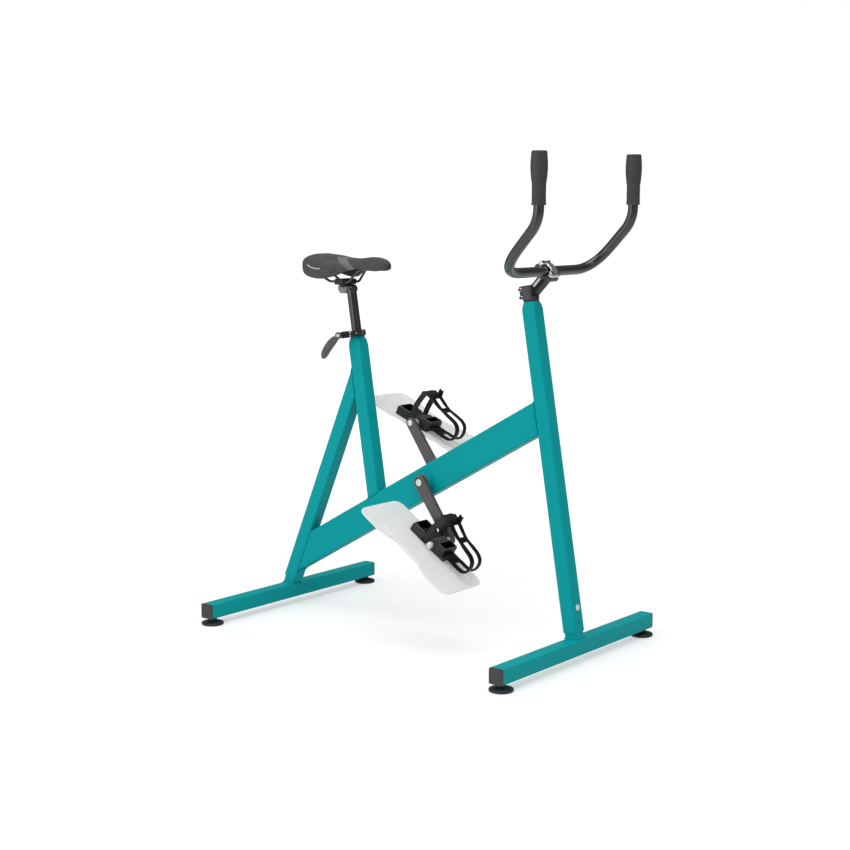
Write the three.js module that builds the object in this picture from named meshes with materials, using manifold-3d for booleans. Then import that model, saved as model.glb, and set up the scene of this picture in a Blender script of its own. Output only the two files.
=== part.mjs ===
// Aqua bike: a stationary bicycle that stands on a pool floor and is pedalled against water fins.
// Millimetres, +Z up. The bike faces +X and the rider's right is -Y. The origin lies on the floor, in the
// middle of the bounding box. Inside the model X counts from the rear foot until the last group moves it.
import * as THREE from 'three';
import { mergeVertices } from 'three/addons/utils/BufferGeometryUtils.js';
import Module from 'manifold-3d';

const wasm = await Module();
wasm.setup();

// Clearances
const SEAT_GAP = 0.3; // between faces that rest on each other
const RUNNING_GAP = 0.4; // round a part that turns or slides in its bore
const OVERRUN = 6; // how far a cut runs past the face it opens

// Steel tubes of the frame
const TUBE_SIZE = 40;
const TUBE_WALL = 2;
const TUBE_CORNER = 4;
const BEAM_HEIGHT = 80;
const BEAM_RISE = THREE.MathUtils.degToRad(29.45);
const POST_RAKE = THREE.MathUtils.degToRad(9.67);
const SEAT_RAKE = THREE.MathUtils.degToRad(9.2);
const BRACE_LEAN = THREE.MathUtils.degToRad(22.93);
const BRACE_SETBACK = 10.3; // brace axis behind the foot's centre, at that height
const SEAT_TUBE_SETBACK = 194.6; // seat tube axis behind the bottom bracket, at that height
const SEAT_TUBE_LENGTH = 349.5; // from the bottom bracket's height to the shoulder
const SEAT_SHOULDER = 25; // length over which the seat tube is drawn in
const POST_LENGTH = 850.7; // from the foot's centre to the shoulder
const POST_SHOULDER = 20;
const POST_NECK_LENGTH = 5; // round neck above the shoulder
const DRAW_HEIGHT_SHARE = 0.5; // half way up a shoulder, only this share of it
const DRAW_SHARE = 0.3; // has been drawn in
const JOINT_LIFT = 16.5; // lower ends of post and brace above the foot

// Feet
const FOOT_SPACING = 971.6;
const FOOT_LENGTH = 682;
const CAP_FLANGE = 4;
const CAP_PLUG_DEPTH = 14;
const CAP_WALL = 2.5;
const SPIGOT_WALL = 3;
const SPIGOT_LENGTH = 100;
const PAD_RADIUS = 30.2;
const PAD_RIM = 7;
const PAD_DOME = 4;
const PAD_NECK_RADIUS = 11;
const PAD_NECK_LENGTH = 8;
const PAD_BEVEL = 2;
const PAD_INSET = 22.9; // pad's centre from the foot's end
const STUD_RADIUS = 5;
const STUD_LENGTH = 30;
const STUD_NUT_RADIUS = 9;
const STUD_NUT_HEIGHT = 8;
const EDGE = 1; // radius of small rounded edges
const FRAME_BOLT_RADIUS = 4;
const FRAME_BOLT_HEAD = 8;
const FRAME_BOLT_DOME = 5;
const DOME_SHARE = 0.85; // height of the dome half way to its rim
const FRAME_BOLT_HEIGHT = 78; // above the foot, along the post
const DRAIN_RADIUS = 3;
const DRAIN_HEIGHT = 39;

// Bottom bracket and cranks
const BRACKET_X = 504.8;
const BRACKET_Z = 410.5;
const SHELL_RADIUS = 24;
const SHELL_WALL = 5;
const SHELL_HALF = 33;
const CUP_FLANGE = 1.9;
const CUP_FLANGE_RADIUS = 21;
const CUP_DEPTH = 16;
const SPINDLE_RADIUS = 8.5;
const CRANK_LENGTH = 172.5;
const CRANK_THICKNESS = 14;
const CRANK_HUB_RADIUS = 17;
const CRANK_TIP_RADIUS = 14;
const CRANK_RECESS = 1;
const CRANK_RECESS_RIM = 7;
const CRANK_ANGLE = THREE.MathUtils.degToRad(35.2); // right crank forward of straight down
const CRANK_BOLT_RADIUS = 4;
const CRANK_BOLT_LENGTH = 15;
const CRANK_BOLT_HEAD = 10.5;
const CRANK_BOLT_HEAD_DEPTH = 3.2;
const CRANK_COUNTERBORE = 4;
const BOLT_FACE_SHARE = 0.8;
const BOLT_SOCKET_SHARE = 0.45;

// Pedals, in the frame of the pedal axle: u forward, w up from the sole's side
const PEDAL_PITCH_RIGHT = THREE.MathUtils.degToRad(34.1); // toe down
const PEDAL_PITCH_LEFT = THREE.MathUtils.degToRad(22.9);
const PEDAL_INNER = 68;
const PEDAL_WIDTH = 53;
const PEDAL_REAR = 77;
const PEDAL_FRONT = 42;
const PEDAL_BOTTOM = 13.2;
const PEDAL_REAR_TOP = 11.2;
const PEDAL_FRONT_TOP = 18.2;
const PEDAL_MIDDLE_TOP = 8;
const PEDAL_BARREL_TOP = 14;
const PEDAL_NOSE_SHARE = 0.75; // bottom of the front wall, as a share of the body's depth
const PEDAL_WALL = 4.5;
const PEDAL_REAR_CELL = 36; // length of the open cell behind the axle
const PEDAL_FRONT_CELL = 20;
const PEDAL_CHAMFER = 5;
const PEDAL_BARREL = 11;
const PEDAL_LUG_RADIUS = 6;
const PEDAL_LUG_WIDTH = 13;
const AXLE_RADIUS = 6;
const AXLE_COLLAR_RADIUS = 9;
const AXLE_COLLAR_LENGTH = 12;
const AXLE_NUT_RADIUS = 8;
const AXLE_NUT_LENGTH = 10;

// Toe clip and strap
const CLIP_INNER = 72;
const CLIP_WIDTH = 46;
const CLIP_THICKNESS = 4;
const CLIP_REACH = 126; // tip ahead of the axle
const CLIP_HEIGHT = 80; // bridge above the axle
const CLIP_SLOT_WIDTH = 23;
const CLIP_WAIST = 4; // how far each side of the clip is drawn in at its crossbar
const CLIP_EAR_HEIGHT = 20;
const CLIP_EAR_WIDTH = 4;
const STRAP_WIDTH = 17;
const STRAP_THICKNESS = 2.2;
const STRAP_CLEARANCE = 2; // strap beside the pedal's cheeks
const STRAP_CORNER = 7;
const STRAP_SETBACK = 22; // strap's lower run behind the axle
const STRAP_DROP = 6.5; // and below it
const STRAP_LEAN = THREE.MathUtils.degToRad(10.4);

// Water fins
const FIN_THICKNESS = 4;
const FIN_INNER = 53;
const FIN_OUTER = 218;
const FIN_LOBE = 92; // length of the wide lobe
const FIN_FLARE = 34; // length over which it widens
const FIN_NECK_INSET_OUTER = 20;
const FIN_NECK_INSET_INNER = 7;
const FIN_FRONT_TIP = 152;
const FIN_FRONT_TAIL = 113;
const FIN_REAR_TIP = 186;
const FIN_REAR_TAIL = 79;
const FIN_CORNER = 26;
const FIN_TAIL_CORNER = 14;

// Seat post and its clamp
const SEAT_POST_RADIUS = 13.6;
const SEAT_POST_WALL = 2.3;
const SEAT_POST_LENGTH = 350;
const SEAT_POST_EXTENSION = 112; // above the collar
const SLEEVE_WALL = 2.5;
const SLEEVE_DEPTH = 150; // sleeve below the shoulder's top
const COLLAR_HEIGHT = 15;
const COLLAR_WALL = 4.7;
const COLLAR_TURN = THREE.MathUtils.degToRad(38);
const COLLAR_SLOT = 3;
const SKEWER_OFFSET = 26; // skewer beside the post's axis
const SKEWER_RADIUS = 2.6;
const LUG_HALF = 14.5;
const LUG_RADIUS = 7.2;
const NUT_LENGTH = 11;
const NUT_RADIUS = 9;
const BUSH_FLANGE = 4;
const BUSH_FLANGE_RADIUS = 9.5;
const BUSH_RADIUS = 7.5;
const LEVER_PIVOT = 50; // pivot from the post's middle plane
const PIVOT_RADIUS = 4;
const PIVOT_HALF = 8;
const CAM_RADIUS = 8.2;
const CAM_THROW = 0.8;
const LEVER_REACH = 75.5;
const LEVER_HALF_WIDTH = 10.5;
const LEVER_HALF_THICKNESS = 8;
const LEVER_ANGLE = THREE.MathUtils.degToRad(228.5);
const LEVER_TRAVEL = THREE.MathUtils.degToRad(110);
const LEVER_SLOT = 3.2;
const LEVER_CURVE_SHARE = 0.4; // sideways bend of the handle
const LEVER_BLADE_SHARE = 0.8; // thickness of the handle, of the head's
const BUSH_WAIST_SHARE = 0.9;
const NUT_TIP_SHARE = 0.6;

// Saddle clamp: a half-round cradle that tilts in the trough of the seat post's head
const HEAD_SETBACK = 21.9; // tilt axis behind the top of the seat post
const HEAD_RISE = 22; // and above it
const HEAD_HALF_WIDTH = 13;
const HEAD_WALL = 8;
const HEAD_DEPTH = 32;
const HEAD_LENGTH = 16;
const HEAD_BEVEL = 7;
const HEAD_CORNER = 2;
const HEAD_PLUG_DEPTH = 25;
const HEAD_COLLAR = 9;
const HEAD_POCKET_HALF = 8;
const CRADLE_RADIUS = 16;
const CRADLE_HALF_LENGTH = 15;
const CRADLE_HALF_WIDTH = 28;
const CRADLE_WING = 8;
const CLAMP_BEVEL = 4;
const TILT_RANGE = THREE.MathUtils.degToRad(10);
const CLAMP_BOLT_LEAN = THREE.MathUtils.degToRad(12);
const CLAMP_BOLT_RADIUS = 4;
const CLAMP_BOLT_HEAD = 6.5;
const CLAMP_BOLT_HEAD_LENGTH = 5;

// Saddle: stations run from its rear edge to the nose
const SADDLE_LENGTH = 276.5;
const SADDLE_WIDTH = 152;
const SADDLE_DEPTH = 67; // crown to the lowest edge of the wings
const SADDLE_SETBACK = 119; // rear edge behind the tilt axis
const SADDLE_EDGE = 8.5; // lowest edge above the tilt axis
const SADDLE_BOW = 9; // rear corners ahead of the rear edge's middle
const PAD_TOP = 12;
const PAD_SIDE = 5;
const PAD_TUCK = 2;
const CHANNEL_DEPTH = 5;
const CHANNEL_HALF_WIDTH = 13;
const SHELL_THICKNESS = 3;
const RAIL_RADIUS = 3.5;
const RAIL_HALF_SPACING = 22;
const RAIL_REAR_FLAT = 36; // straight run behind the tilt axis
const RAIL_FRONT_FLAT = 30;
const RAIL_FRONT_RISE = 35;
const RAIL_FRONT_RUN = 32;
const RAIL_NOSE_RUN = 48;
const RAIL_NOSE_SPACING = 7.5;
const RAIL_REAR_RISE = 30;
const RAIL_REAR_RUN = 60;
const RAIL_REAR_SPACING = 32;
const RAIL_BEND = 14;
const SOCKET_LENGTH = 18;
const SOCKET_RADIUS = 6;

// Stem and handlebar
const STEERER_RADIUS = 14.3;
const STEERER_WALL = 2.2;
const STEERER_DEPTH = 120;
const POST_SLEEVE_WALL = 2.6;
const POST_SLEEVE_DEPTH = 60;
const STEM_CLAMP_HEIGHT = 36;
const STEM_CLAMP_RADIUS = 21;
const STEM_LUG_REACH = 27;
const STEM_LUG_HALF = 11;
const STEM_LUG_CORNER = 5;
const STEM_SLOT_HALF = 1;
const PINCH_BOLT_RADIUS = 2.6;
const PINCH_BOLT_INSET = 5; // bolt's axis from the lugs' end
const PINCH_BOLT_HALF_SPACING = 10;
const STEM_ARM_LENGTH = 74.67;
const STEM_ARM_ANGLE = THREE.MathUtils.degToRad(36.7);
const STEM_ARM_HEIGHT = 21.5;
const STEM_ARM_DROP = 6; // arm's middle below the line from the clamp to the bar
const STEM_ARM_HALF_WIDTH = 15;
const STEM_PANEL_DEPTH = 1.5;
const STEM_PANEL_HEIGHT = 8;
const STEM_PANEL_RIM = 3;
const BAR_RADIUS = 12.7;
const BAR_WALL = 2;
const BAR_CLAMP_WALL = 6.5;
const BAR_CLAMP_HALF_WIDTH = 21;
const BAR_EAR_HALF = 27;
const BAR_EAR_THICKNESS = 9;
const FACEPLATE_WINDOW_HALF = 8;
const FACEPLATE_CORNER = 6;
const FACEPLATE_BOLT_RADIUS = 3.6;
const FACEPLATE_BOLT_INSET = 6;
const FACEPLATE_BOLT_SINK = 3;
const BAR_CENTRE_HALF = 202;
const BAR_GRIP_HALF = 208;
const BAR_REACH = 114.5;
const BAR_RISE = 124.5;
const BAR_TOP = 288;
const BAR_BEND = 85;
const GRIP_LENGTH = 125;
const GRIP_RADIUS = 20.5;
const GRIP_GROOVE = 1;
const GRIP_CAP = 3;
const GRIP_GROOVES = 4;
const GRIP_GROOVES_SHARE = 0.4; // of the grip's length

// Facets
const ROUND_SIDES = 20;
const SMALL_SIDES = 16;
const CORNER_STEPS = 3;
const HEX_SIDES = 6;
const BAR_SIDES = 14;
const BAR_STEPS = 7;
const RAIL_SIDES = 8;
const PLATE_STEPS = 8;
const CLIP_STEPS = 27;
const FIN_STEPS = 6;
const INNER_SIDES_SHARE = 0.7; // a tube's bore needs fewer sides than its skin
const FULL_TURN = Math.PI + Math.PI;
const RIGHT_ANGLE = Math.PI / 2;

// Sizes that follow from those above
const TUBE_HALF = TUBE_SIZE / 2;
const BORE_HALF = TUBE_HALF - TUBE_WALL;
const PAD_HEIGHT = PAD_RIM + PAD_DOME + PAD_NECK_LENGTH;
const FOOT_UNDERSIDE = PAD_HEIGHT + SEAT_GAP;
const FOOT_Z = FOOT_UNDERSIDE + TUBE_HALF;
const TRIM = BEAM_HEIGHT * 4; // side of the blocks that trim tube ends
const CRANK_INNER = SHELL_HALF + SEAT_GAP + CUP_FLANGE + SEAT_GAP;
const CRANK_OUTER = CRANK_INNER + CRANK_THICKNESS;
const PEDAL_OUTER = PEDAL_INNER + PEDAL_WIDTH;
const SLEEVE_BORE = SEAT_POST_RADIUS + RUNNING_GAP;
const SLEEVE_RADIUS = SLEEVE_BORE + SLEEVE_WALL;
const SEAT_NECK_Z = SEAT_TUBE_LENGTH + SEAT_SHOULDER; // along the seat tube's axis
const COLLAR_Z = SEAT_NECK_Z + SEAT_GAP;
const SEAT_POST_TOP = COLLAR_Z + COLLAR_HEIGHT + SEAT_POST_EXTENSION;
const STEM_Z = POST_LENGTH + POST_SHOULDER + POST_NECK_LENGTH + SEAT_GAP + STEM_CLAMP_HEIGHT / 2;
const POST_SLEEVE_RADIUS = STEERER_RADIUS + SEAT_GAP + POST_SLEEVE_WALL;
const STEM_BORE = STEERER_RADIUS + RUNNING_GAP;
const BAR_BORE = BAR_RADIUS + RUNNING_GAP;
const BAR_CLAMP_RADIUS = BAR_BORE + BAR_CLAMP_WALL;
const SPINDLE_HALF = CRANK_OUTER - CRANK_COUNTERBORE - SEAT_GAP;

// Materials
const paint = (color, roughness, metalness) =>
  new THREE.MeshStandardMaterial({ color, roughness, metalness, flatShading: true });
const looks = {
  frame: () => paint(0x08969a, 0.42, 0.15),
  cap: () => paint(0x3c3c3e, 0.6, 0),
  plastic: () => paint(0x1d1d1f, 0.5, 0),
  crank: () => paint(0x4c4a4b, 0.45, 0.5),
  steel: () => paint(0xb9bbbd, 0.25, 1),
  alloy: () => paint(0xa6a8aa, 0.4, 0.8),
  black: () => paint(0x161618, 0.3, 0.4),
  rubber: () => paint(0x222224, 0.8, 0),
  fin: () => paint(0xe6e9ea, 0.35, 0),
  cover: () => paint(0x2b2b2d, 0.7, 0),
};

const bike = new THREE.Group();
const turned = (parent, x, y, z, angle = 0) => {
  const group = new THREE.Group();
  group.position.set(x, y, z);
  group.rotation.y = angle;
  parent.add(group);
  return group;
};

// Solids: every shape passes through here as one closed body with outward faces
function asSolid(geometry) {
  const plain = geometry.clone();
  plain.deleteAttribute('normal');
  plain.deleteAttribute('uv');
  const merged = mergeVertices(plain);
  const points = new Float32Array(merged.attributes.position.array);
  const kept = [];
  let volume = 0;
  const corner = (i) => new THREE.Vector3().fromArray(points, i * 3);
  for (let t = 0; t < merged.index.count; t += 3) {
    const [a, b, c] = [0, 1, 2].map((k) => merged.index.getX(t + k));
    if (a === b || b === c || c === a) continue;
    kept.push([a, b, c]);
    volume += corner(a).dot(corner(b).cross(corner(c)));
  }
  const faces = volume < 0 ? kept.map(([a, b, c]) => [a, c, b]) : kept;
  const triVerts = new Uint32Array(faces.flat());
  return new wasm.Manifold(new wasm.Mesh({ numProp: 3, vertProperties: points, triVerts }));
}

function asGeometry(solid) {
  const result = solid.getMesh();
  const geometry = new THREE.BufferGeometry();
  geometry.setAttribute('position', new THREE.BufferAttribute(result.vertProperties, 3));
  geometry.setIndex(new THREE.BufferAttribute(result.triVerts, 1));
  geometry.computeVertexNormals();
  return geometry;
}

const join = (...parts) => parts.map(asSolidOnce).reduce((sum, part) => sum.add(part));
const cut = (base, ...tools) =>
  tools.map(asSolidOnce).reduce((rest, tool) => rest.subtract(tool), asSolidOnce(base));

function asSolidOnce(shape) {
  return shape.isBufferGeometry ? asSolid(shape) : shape;
}

function add(parent, name, shape, material) {
  const mesh = new THREE.Mesh(asGeometry(asSolidOnce(shape)), material);
  mesh.name = name;
  parent.add(mesh);
  return mesh;
}

// The two ends of a span, the lower one first
const ordered = (p, q) => [Math.min(p, q), Math.max(p, q)];

// Basic shapes
function block(x0, x1, y0, y1, z0, z1) {
  const box = new THREE.BoxGeometry(x1 - x0, y1 - y0, z1 - z0);
  return box.translate((x0 + x1) / 2, (y0 + y1) / 2, (z0 + z1) / 2);
}

// A profile of [radius, height] pairs turned about Z
function turnedProfile(profile, sides = ROUND_SIDES) {
  const points = profile.map(([r, z]) => new THREE.Vector2(r, z));
  return new THREE.LatheGeometry(points, sides).rotateX(RIGHT_ANGLE);
}

function rod(radius, z0, z1, sides = ROUND_SIDES) {
  return turnedProfile([[0, z0], [radius, z0], [radius, z1], [0, z1]], sides);
}

function pipe(outer, inner, z0, z1, sides = ROUND_SIDES) {
  return turnedProfile([[inner, z0], [outer, z0], [outer, z1], [inner, z1], [inner, z0]], sides);
}

// The same shapes with their axis along Y or X
const alongY = (geometry) => geometry.rotateX(-RIGHT_ANGLE);
const alongX = (geometry) => geometry.rotateY(RIGHT_ANGLE);

// A Shape whose corners are rounded; each point is [x, y, radius]
function roundedShape(points) {
  const shape = new THREE.Shape();
  const at = (i) => new THREE.Vector2(...points[(i + points.length) % points.length]);
  points.forEach(([, , radius], i) => {
    const here = at(i);
    const before = at(i - 1).sub(here);
    const after = at(i + 1).sub(here);
    const reach = Math.min(radius, before.length() / 2, after.length() / 2);
    const start = here.clone().addScaledVector(before.normalize(), reach);
    const end = here.clone().addScaledVector(after.normalize(), reach);
    if (i === 0) shape.moveTo(start.x, start.y);
    else shape.lineTo(start.x, start.y);
    if (reach > 0) shape.quadraticCurveTo(here.x, here.y, end.x, end.y);
  });
  shape.closePath();
  return shape;
}

const extruded = (shape, depth, curveSegments = CORNER_STEPS) =>
  new THREE.ExtrudeGeometry(shape, { depth, curveSegments, bevelEnabled: false });

// A side-view outline (x, z) given thickness along Y, from y0 to y1
function sidePlate(shape, y0, y1, curveSegments) {
  const [low, high] = ordered(y0, y1);
  return extruded(shape, high - low, curveSegments).rotateX(RIGHT_ANGLE).translate(0, high, 0);
}

// A plan outline (x, y) given thickness along Z
const planPlate = (shape, z0, z1, curveSegments) =>
  extruded(shape, z1 - z0, curveSegments).translate(0, 0, z0);

// Rings for lofts: a square with rounded corners, and a circle whose points match it
function squareRing(halfX, halfY, corner) {
  const ring = [];
  for (let quarter = 0; quarter < 4; quarter++) {
    const signX = quarter === 0 || quarter === 3 ? 1 : -1;
    const signY = quarter < 2 ? 1 : -1;
    for (let step = 0; step <= CORNER_STEPS; step++) {
      const angle = RIGHT_ANGLE * (quarter + step / CORNER_STEPS);
      const x = signX * (halfX - corner) + corner * Math.cos(angle);
      const y = signY * (halfY - corner) + corner * Math.sin(angle);
      ring.push([x, y]);
    }
  }
  return ring;
}

// (its flats lie on the radius, so that a round part of that radius fits inside)
function roundRing(flatRadius) {
  const ring = [];
  const perQuarter = CORNER_STEPS + 1;
  const radius = flatRadius / Math.cos(RIGHT_ANGLE / 2 / perQuarter);
  for (let k = 0; k < 4 * perQuarter; k++) {
    const angle = (RIGHT_ANGLE * (k + 1 / 2)) / perQuarter;
    ring.push([radius * Math.cos(angle), radius * Math.sin(angle)]);
  }
  return ring;
}

const ringBetween = (from, to, share) =>
  from.map(([x, y], k) => [x + (to[k][0] - x) * share, y + (to[k][1] - y) * share]);

// A hollow body through a closed row of rings, each { ring, z }
function loft(rows) {
  const count = rows[0].ring.length;
  const position = rows.flatMap(({ ring, z }) => ring.flatMap(([x, y]) => [x, y, z]));
  const index = [];
  rows.forEach((row, r) => {
    const here = r * count;
    const next = ((r + 1) % rows.length) * count;
    for (let k = 0; k < count; k++) {
      const after = (k + 1) % count;
      index.push(here + k, here + after, next + after, here + k, next + after, next + k);
    }
  });
  const geometry = new THREE.BufferGeometry();
  geometry.setAttribute('position', new THREE.Float32BufferAttribute(position, 3));
  geometry.setIndex(index);
  return geometry;
}

function rectangularTube(halfX, halfY, wall, z0, z1) {
  const outer = squareRing(halfX, halfY, TUBE_CORNER);
  const inner = squareRing(halfX - wall, halfY - wall, TUBE_CORNER / 2);
  return loft([
    { ring: outer, z: z0 },
    { ring: outer, z: z1 },
    { ring: inner, z: z1 },
    { ring: inner, z: z0 },
  ]);
}

// A square tube whose upper end is drawn in to a round mouth
function drawnTube(z0, shoulderZ, mouthZ, mouthRadius) {
  const outer = squareRing(TUBE_HALF, TUBE_HALF, TUBE_CORNER);
  const inner = squareRing(BORE_HALF, BORE_HALF, TUBE_CORNER / 2);
  const neck = roundRing(mouthRadius + TUBE_WALL);
  const mouth = roundRing(mouthRadius);
  const middleZ = shoulderZ + (mouthZ - shoulderZ) * DRAW_HEIGHT_SHARE;
  return loft([
    { ring: outer, z: z0 },
    { ring: outer, z: shoulderZ },
    { ring: ringBetween(outer, neck, DRAW_SHARE), z: middleZ },
    { ring: neck, z: mouthZ },
    { ring: mouth, z: mouthZ },
    { ring: ringBetween(inner, mouth, DRAW_SHARE), z: middleZ },
    { ring: inner, z: shoulderZ },
    { ring: inner, z: z0 },
  ]);
}

// A path of straight runs with rounded corners, for bent rods and tubes
class BentPath extends THREE.Curve {
  constructor(corners, bend, steps = CORNER_STEPS) {
    super();
    this.knots = [corners[0]];
    for (let i = 1; i < corners.length - 1; i++) {
      const back = corners[i - 1].clone().sub(corners[i]);
      const on = corners[i + 1].clone().sub(corners[i]);
      const half = (Math.PI - back.angleTo(on)) / 2;
      const tangent = Math.min(bend * Math.tan(half), back.length() / 2, on.length() / 2);
      const start = corners[i].clone().addScaledVector(back.normalize(), tangent);
      const end = corners[i].clone().addScaledVector(on.normalize(), tangent);
      const arc = new THREE.QuadraticBezierCurve3(start, corners[i], end);
      this.knots.push(...arc.getPoints(steps));
    }
    this.knots.push(corners[corners.length - 1]);
    this.knots = this.knots.filter((knot, i, all) => i === 0 || knot.distanceTo(all[i - 1]) > SEAT_GAP);
  }

  getPoint(t) {
    const place = t * (this.knots.length - 1);
    const first = Math.min(Math.floor(place), this.knots.length - 2);
    return this.knots[first].clone().lerp(this.knots[first + 1], place - first);
  }

  getPointAt(t) {
    return this.getPoint(t);
  }

  getTangentAt(t) {
    const last = this.knots.length - 1;
    const i = Math.round(t * last);
    const before = this.knots[Math.max(i - 1, 0)];
    const after = this.knots[Math.min(i + 1, last)];
    return after.clone().sub(before).normalize();
  }
}

function sweep(path, radius, bore = 0, sides = 12) {
  const circle = (r, count) => Array.from({ length: count }, (_, k) => {
    const angle = (FULL_TURN * k) / count;
    return new THREE.Vector2(r * Math.cos(angle), r * Math.sin(angle));
  });
  const section = new THREE.Shape(circle(radius, sides));
  const inside = circle(bore, Math.round(sides * INNER_SIDES_SHARE)).reverse();
  if (bore > 0) section.holes.push(new THREE.Path(inside));
  return new THREE.ExtrudeGeometry(section, { steps: path.knots.length - 1, extrudePath: path });
}

// Frame tubes in the side view: built along Z, then leaned by an angle and put on a point
const lean = (geometry, angle, x, z) => geometry.rotateY(angle).translate(x, 0, z);
const slab = (x0, x1, angle, x, z) => lean(block(x0, x1, -TRIM, TRIM, -TRIM * 4, TRIM * 4), angle, x, z);

const BRACE_X = -BRACE_SETBACK;
const SEAT_X = BRACKET_X - SEAT_TUBE_SETBACK;
const BEAM_LEAN = RIGHT_ANGLE - BEAM_RISE;
const JOINT_Z = TUBE_HALF + JOINT_LIFT; // lower ends of post and brace above the foot's centre
const WELD = TUBE_HALF + SEAT_GAP;

function mainBeam() {
  const tube = rectangularTube(BEAM_HEIGHT / 2, TUBE_HALF, TUBE_WALL, -FOOT_SPACING, FOOT_SPACING);
  lean(tube, BEAM_LEAN, BRACKET_X, BRACKET_Z);
  const ahead = slab(-WELD, TRIM * 4, -POST_RAKE, FOOT_SPACING, FOOT_Z);
  const behind = slab(-TRIM * 4, WELD, BRACE_LEAN, BRACE_X, FOOT_Z);
  const bracket = alongY(rod(SHELL_RADIUS + SEAT_GAP, -TRIM, TRIM)).translate(BRACKET_X, 0, BRACKET_Z);
  return cut(tube, ahead, behind, bracket);
}

function rearBrace() {
  const tube = rectangularTube(TUBE_HALF, TUBE_HALF, TUBE_WALL, JOINT_Z / Math.cos(BRACE_LEAN), FOOT_SPACING);
  lean(tube, BRACE_LEAN, BRACE_X, FOOT_Z);
  return cut(tube, slab(-WELD, TRIM * 4, -SEAT_RAKE, SEAT_X, BRACKET_Z));
}

function seatTube() {
  const tube = drawnTube(-BRACKET_Z, SEAT_TUBE_LENGTH, SEAT_NECK_Z, SLEEVE_RADIUS + SEAT_GAP);
  lean(tube, -SEAT_RAKE, SEAT_X, BRACKET_Z);
  const top = BEAM_HEIGHT / 2 + SEAT_GAP;
  return cut(tube, slab(-top, TRIM * 4, BEAM_LEAN, BRACKET_X, BRACKET_Z));
}

// In the front post's own frame: the bolt holes go through its front wall and the spigot's
const postHole = (radius, height) => alongX(rod(radius, 0, TUBE_SIZE, SMALL_SIDES)).translate(0, 0, height);
const POST_FOOT = TUBE_HALF / Math.cos(POST_RAKE); // foot's top along the post's axis
const POST_START = JOINT_Z / Math.cos(POST_RAKE);
const BOLT_Z = POST_FOOT + FRAME_BOLT_HEIGHT;
const DRAIN_Z = POST_FOOT + DRAIN_HEIGHT;

function frontPost() {
  const top = POST_LENGTH + POST_SHOULDER;
  const tube = drawnTube(POST_START, POST_LENGTH, top, POST_SLEEVE_RADIUS + SEAT_GAP);
  return cut(tube, postHole(FRAME_BOLT_RADIUS + SEAT_GAP, BOLT_Z), postHole(DRAIN_RADIUS, DRAIN_Z));
}

function spigot(angle, start, holes) {
  const half = BORE_HALF - SEAT_GAP;
  const tube = rectangularTube(half, half, SPIGOT_WALL, -TUBE_SIZE, start + SPIGOT_LENGTH);
  const foot = block(-TRIM, TRIM, -TRIM, TRIM, -TRIM, WELD).rotateY(-angle);
  return cut(tube, foot, ...holes);
}

// Sleeve welded into the post's mouth; its neck is as wide as the mouth and carries the stem
function postSleeve() {
  const bore = STEERER_RADIUS + SEAT_GAP;
  const mouth = POST_LENGTH + POST_SHOULDER;
  const bottom = mouth - POST_SLEEVE_DEPTH;
  const neck = POST_SLEEVE_RADIUS + SEAT_GAP + TUBE_WALL;
  return turnedProfile([
    [bore, bottom],
    [POST_SLEEVE_RADIUS, bottom],
    [POST_SLEEVE_RADIUS, mouth + SEAT_GAP],
    [neck, mouth + SEAT_GAP],
    [neck, mouth + POST_NECK_LENGTH],
    [bore, mouth + POST_NECK_LENGTH],
    [bore, bottom],
  ]);
}

function frontPostBolt() {
  const face = TUBE_HALF + SEAT_GAP;
  const head = [[0, face + FRAME_BOLT_DOME], [FRAME_BOLT_HEAD / 2, face + FRAME_BOLT_DOME * DOME_SHARE]];
  const rim = [[FRAME_BOLT_HEAD, face + FRAME_BOLT_DOME / 4], [FRAME_BOLT_HEAD, face]];
  const shank = [[FRAME_BOLT_RADIUS, face], [FRAME_BOLT_RADIUS, TUBE_HALF / 2], [0, TUBE_HALF / 2]];
  return alongX(turnedProfile([...head, ...rim, ...shank], SMALL_SIDES)).translate(0, 0, BOLT_Z);
}

// A foot lies along Y; its levelling nuts are welded inside on the lower wall
function footTube() {
  const half = FOOT_LENGTH / 2 - CAP_FLANGE - SEAT_GAP;
  const tube = alongY(rectangularTube(TUBE_HALF, TUBE_HALF, TUBE_WALL, -half, half));
  const holes = [];
  const nuts = [];
  for (const side of [-1, 1]) {
    const y = side * (FOOT_LENGTH / 2 - PAD_INSET);
    const seat = -BORE_HALF;
    const nut = rod(STUD_NUT_RADIUS, seat - TUBE_WALL / 2, seat + STUD_NUT_HEIGHT, HEX_SIDES);
    nuts.push(nut.translate(0, y, 0));
    holes.push(rod(STUD_RADIUS + RUNNING_GAP, -TUBE_SIZE, 0).translate(0, y, 0));
  }
  return cut(join(tube, ...nuts), ...holes);
}

// End cap: a flush flange with an open plug; its middle leaves room for the levelling nut
function footCap(side) {
  const outer = FOOT_LENGTH / 2;
  const shoulder = outer - CAP_FLANGE;
  const flange = squareRing(TUBE_HALF, TUBE_HALF, TUBE_CORNER).map(([x, y]) => [x, y, 0]);
  const plugHalf = BORE_HALF - SEAT_GAP;
  const plug = squareRing(plugHalf, plugHalf, TUBE_CORNER / 2).map(([x, y]) => [x, y, 0]);
  const reach = Math.min(CAP_PLUG_DEPTH, PAD_INSET - STUD_NUT_RADIUS - CAP_FLANGE - SEAT_GAP);
  const room = plugHalf - CAP_WALL;
  const solid = join(
    sidePlate(roundedShape(flange), side * shoulder, side * outer),
    sidePlate(roundedShape(plug), side * (shoulder - reach), side * (shoulder + CAP_FLANGE / 2)),
  );
  const [low, high] = ordered(side * (shoulder - reach - OVERRUN), side * shoulder);
  return cut(solid, block(-room, room, low, high, -room, room));
}

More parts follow.
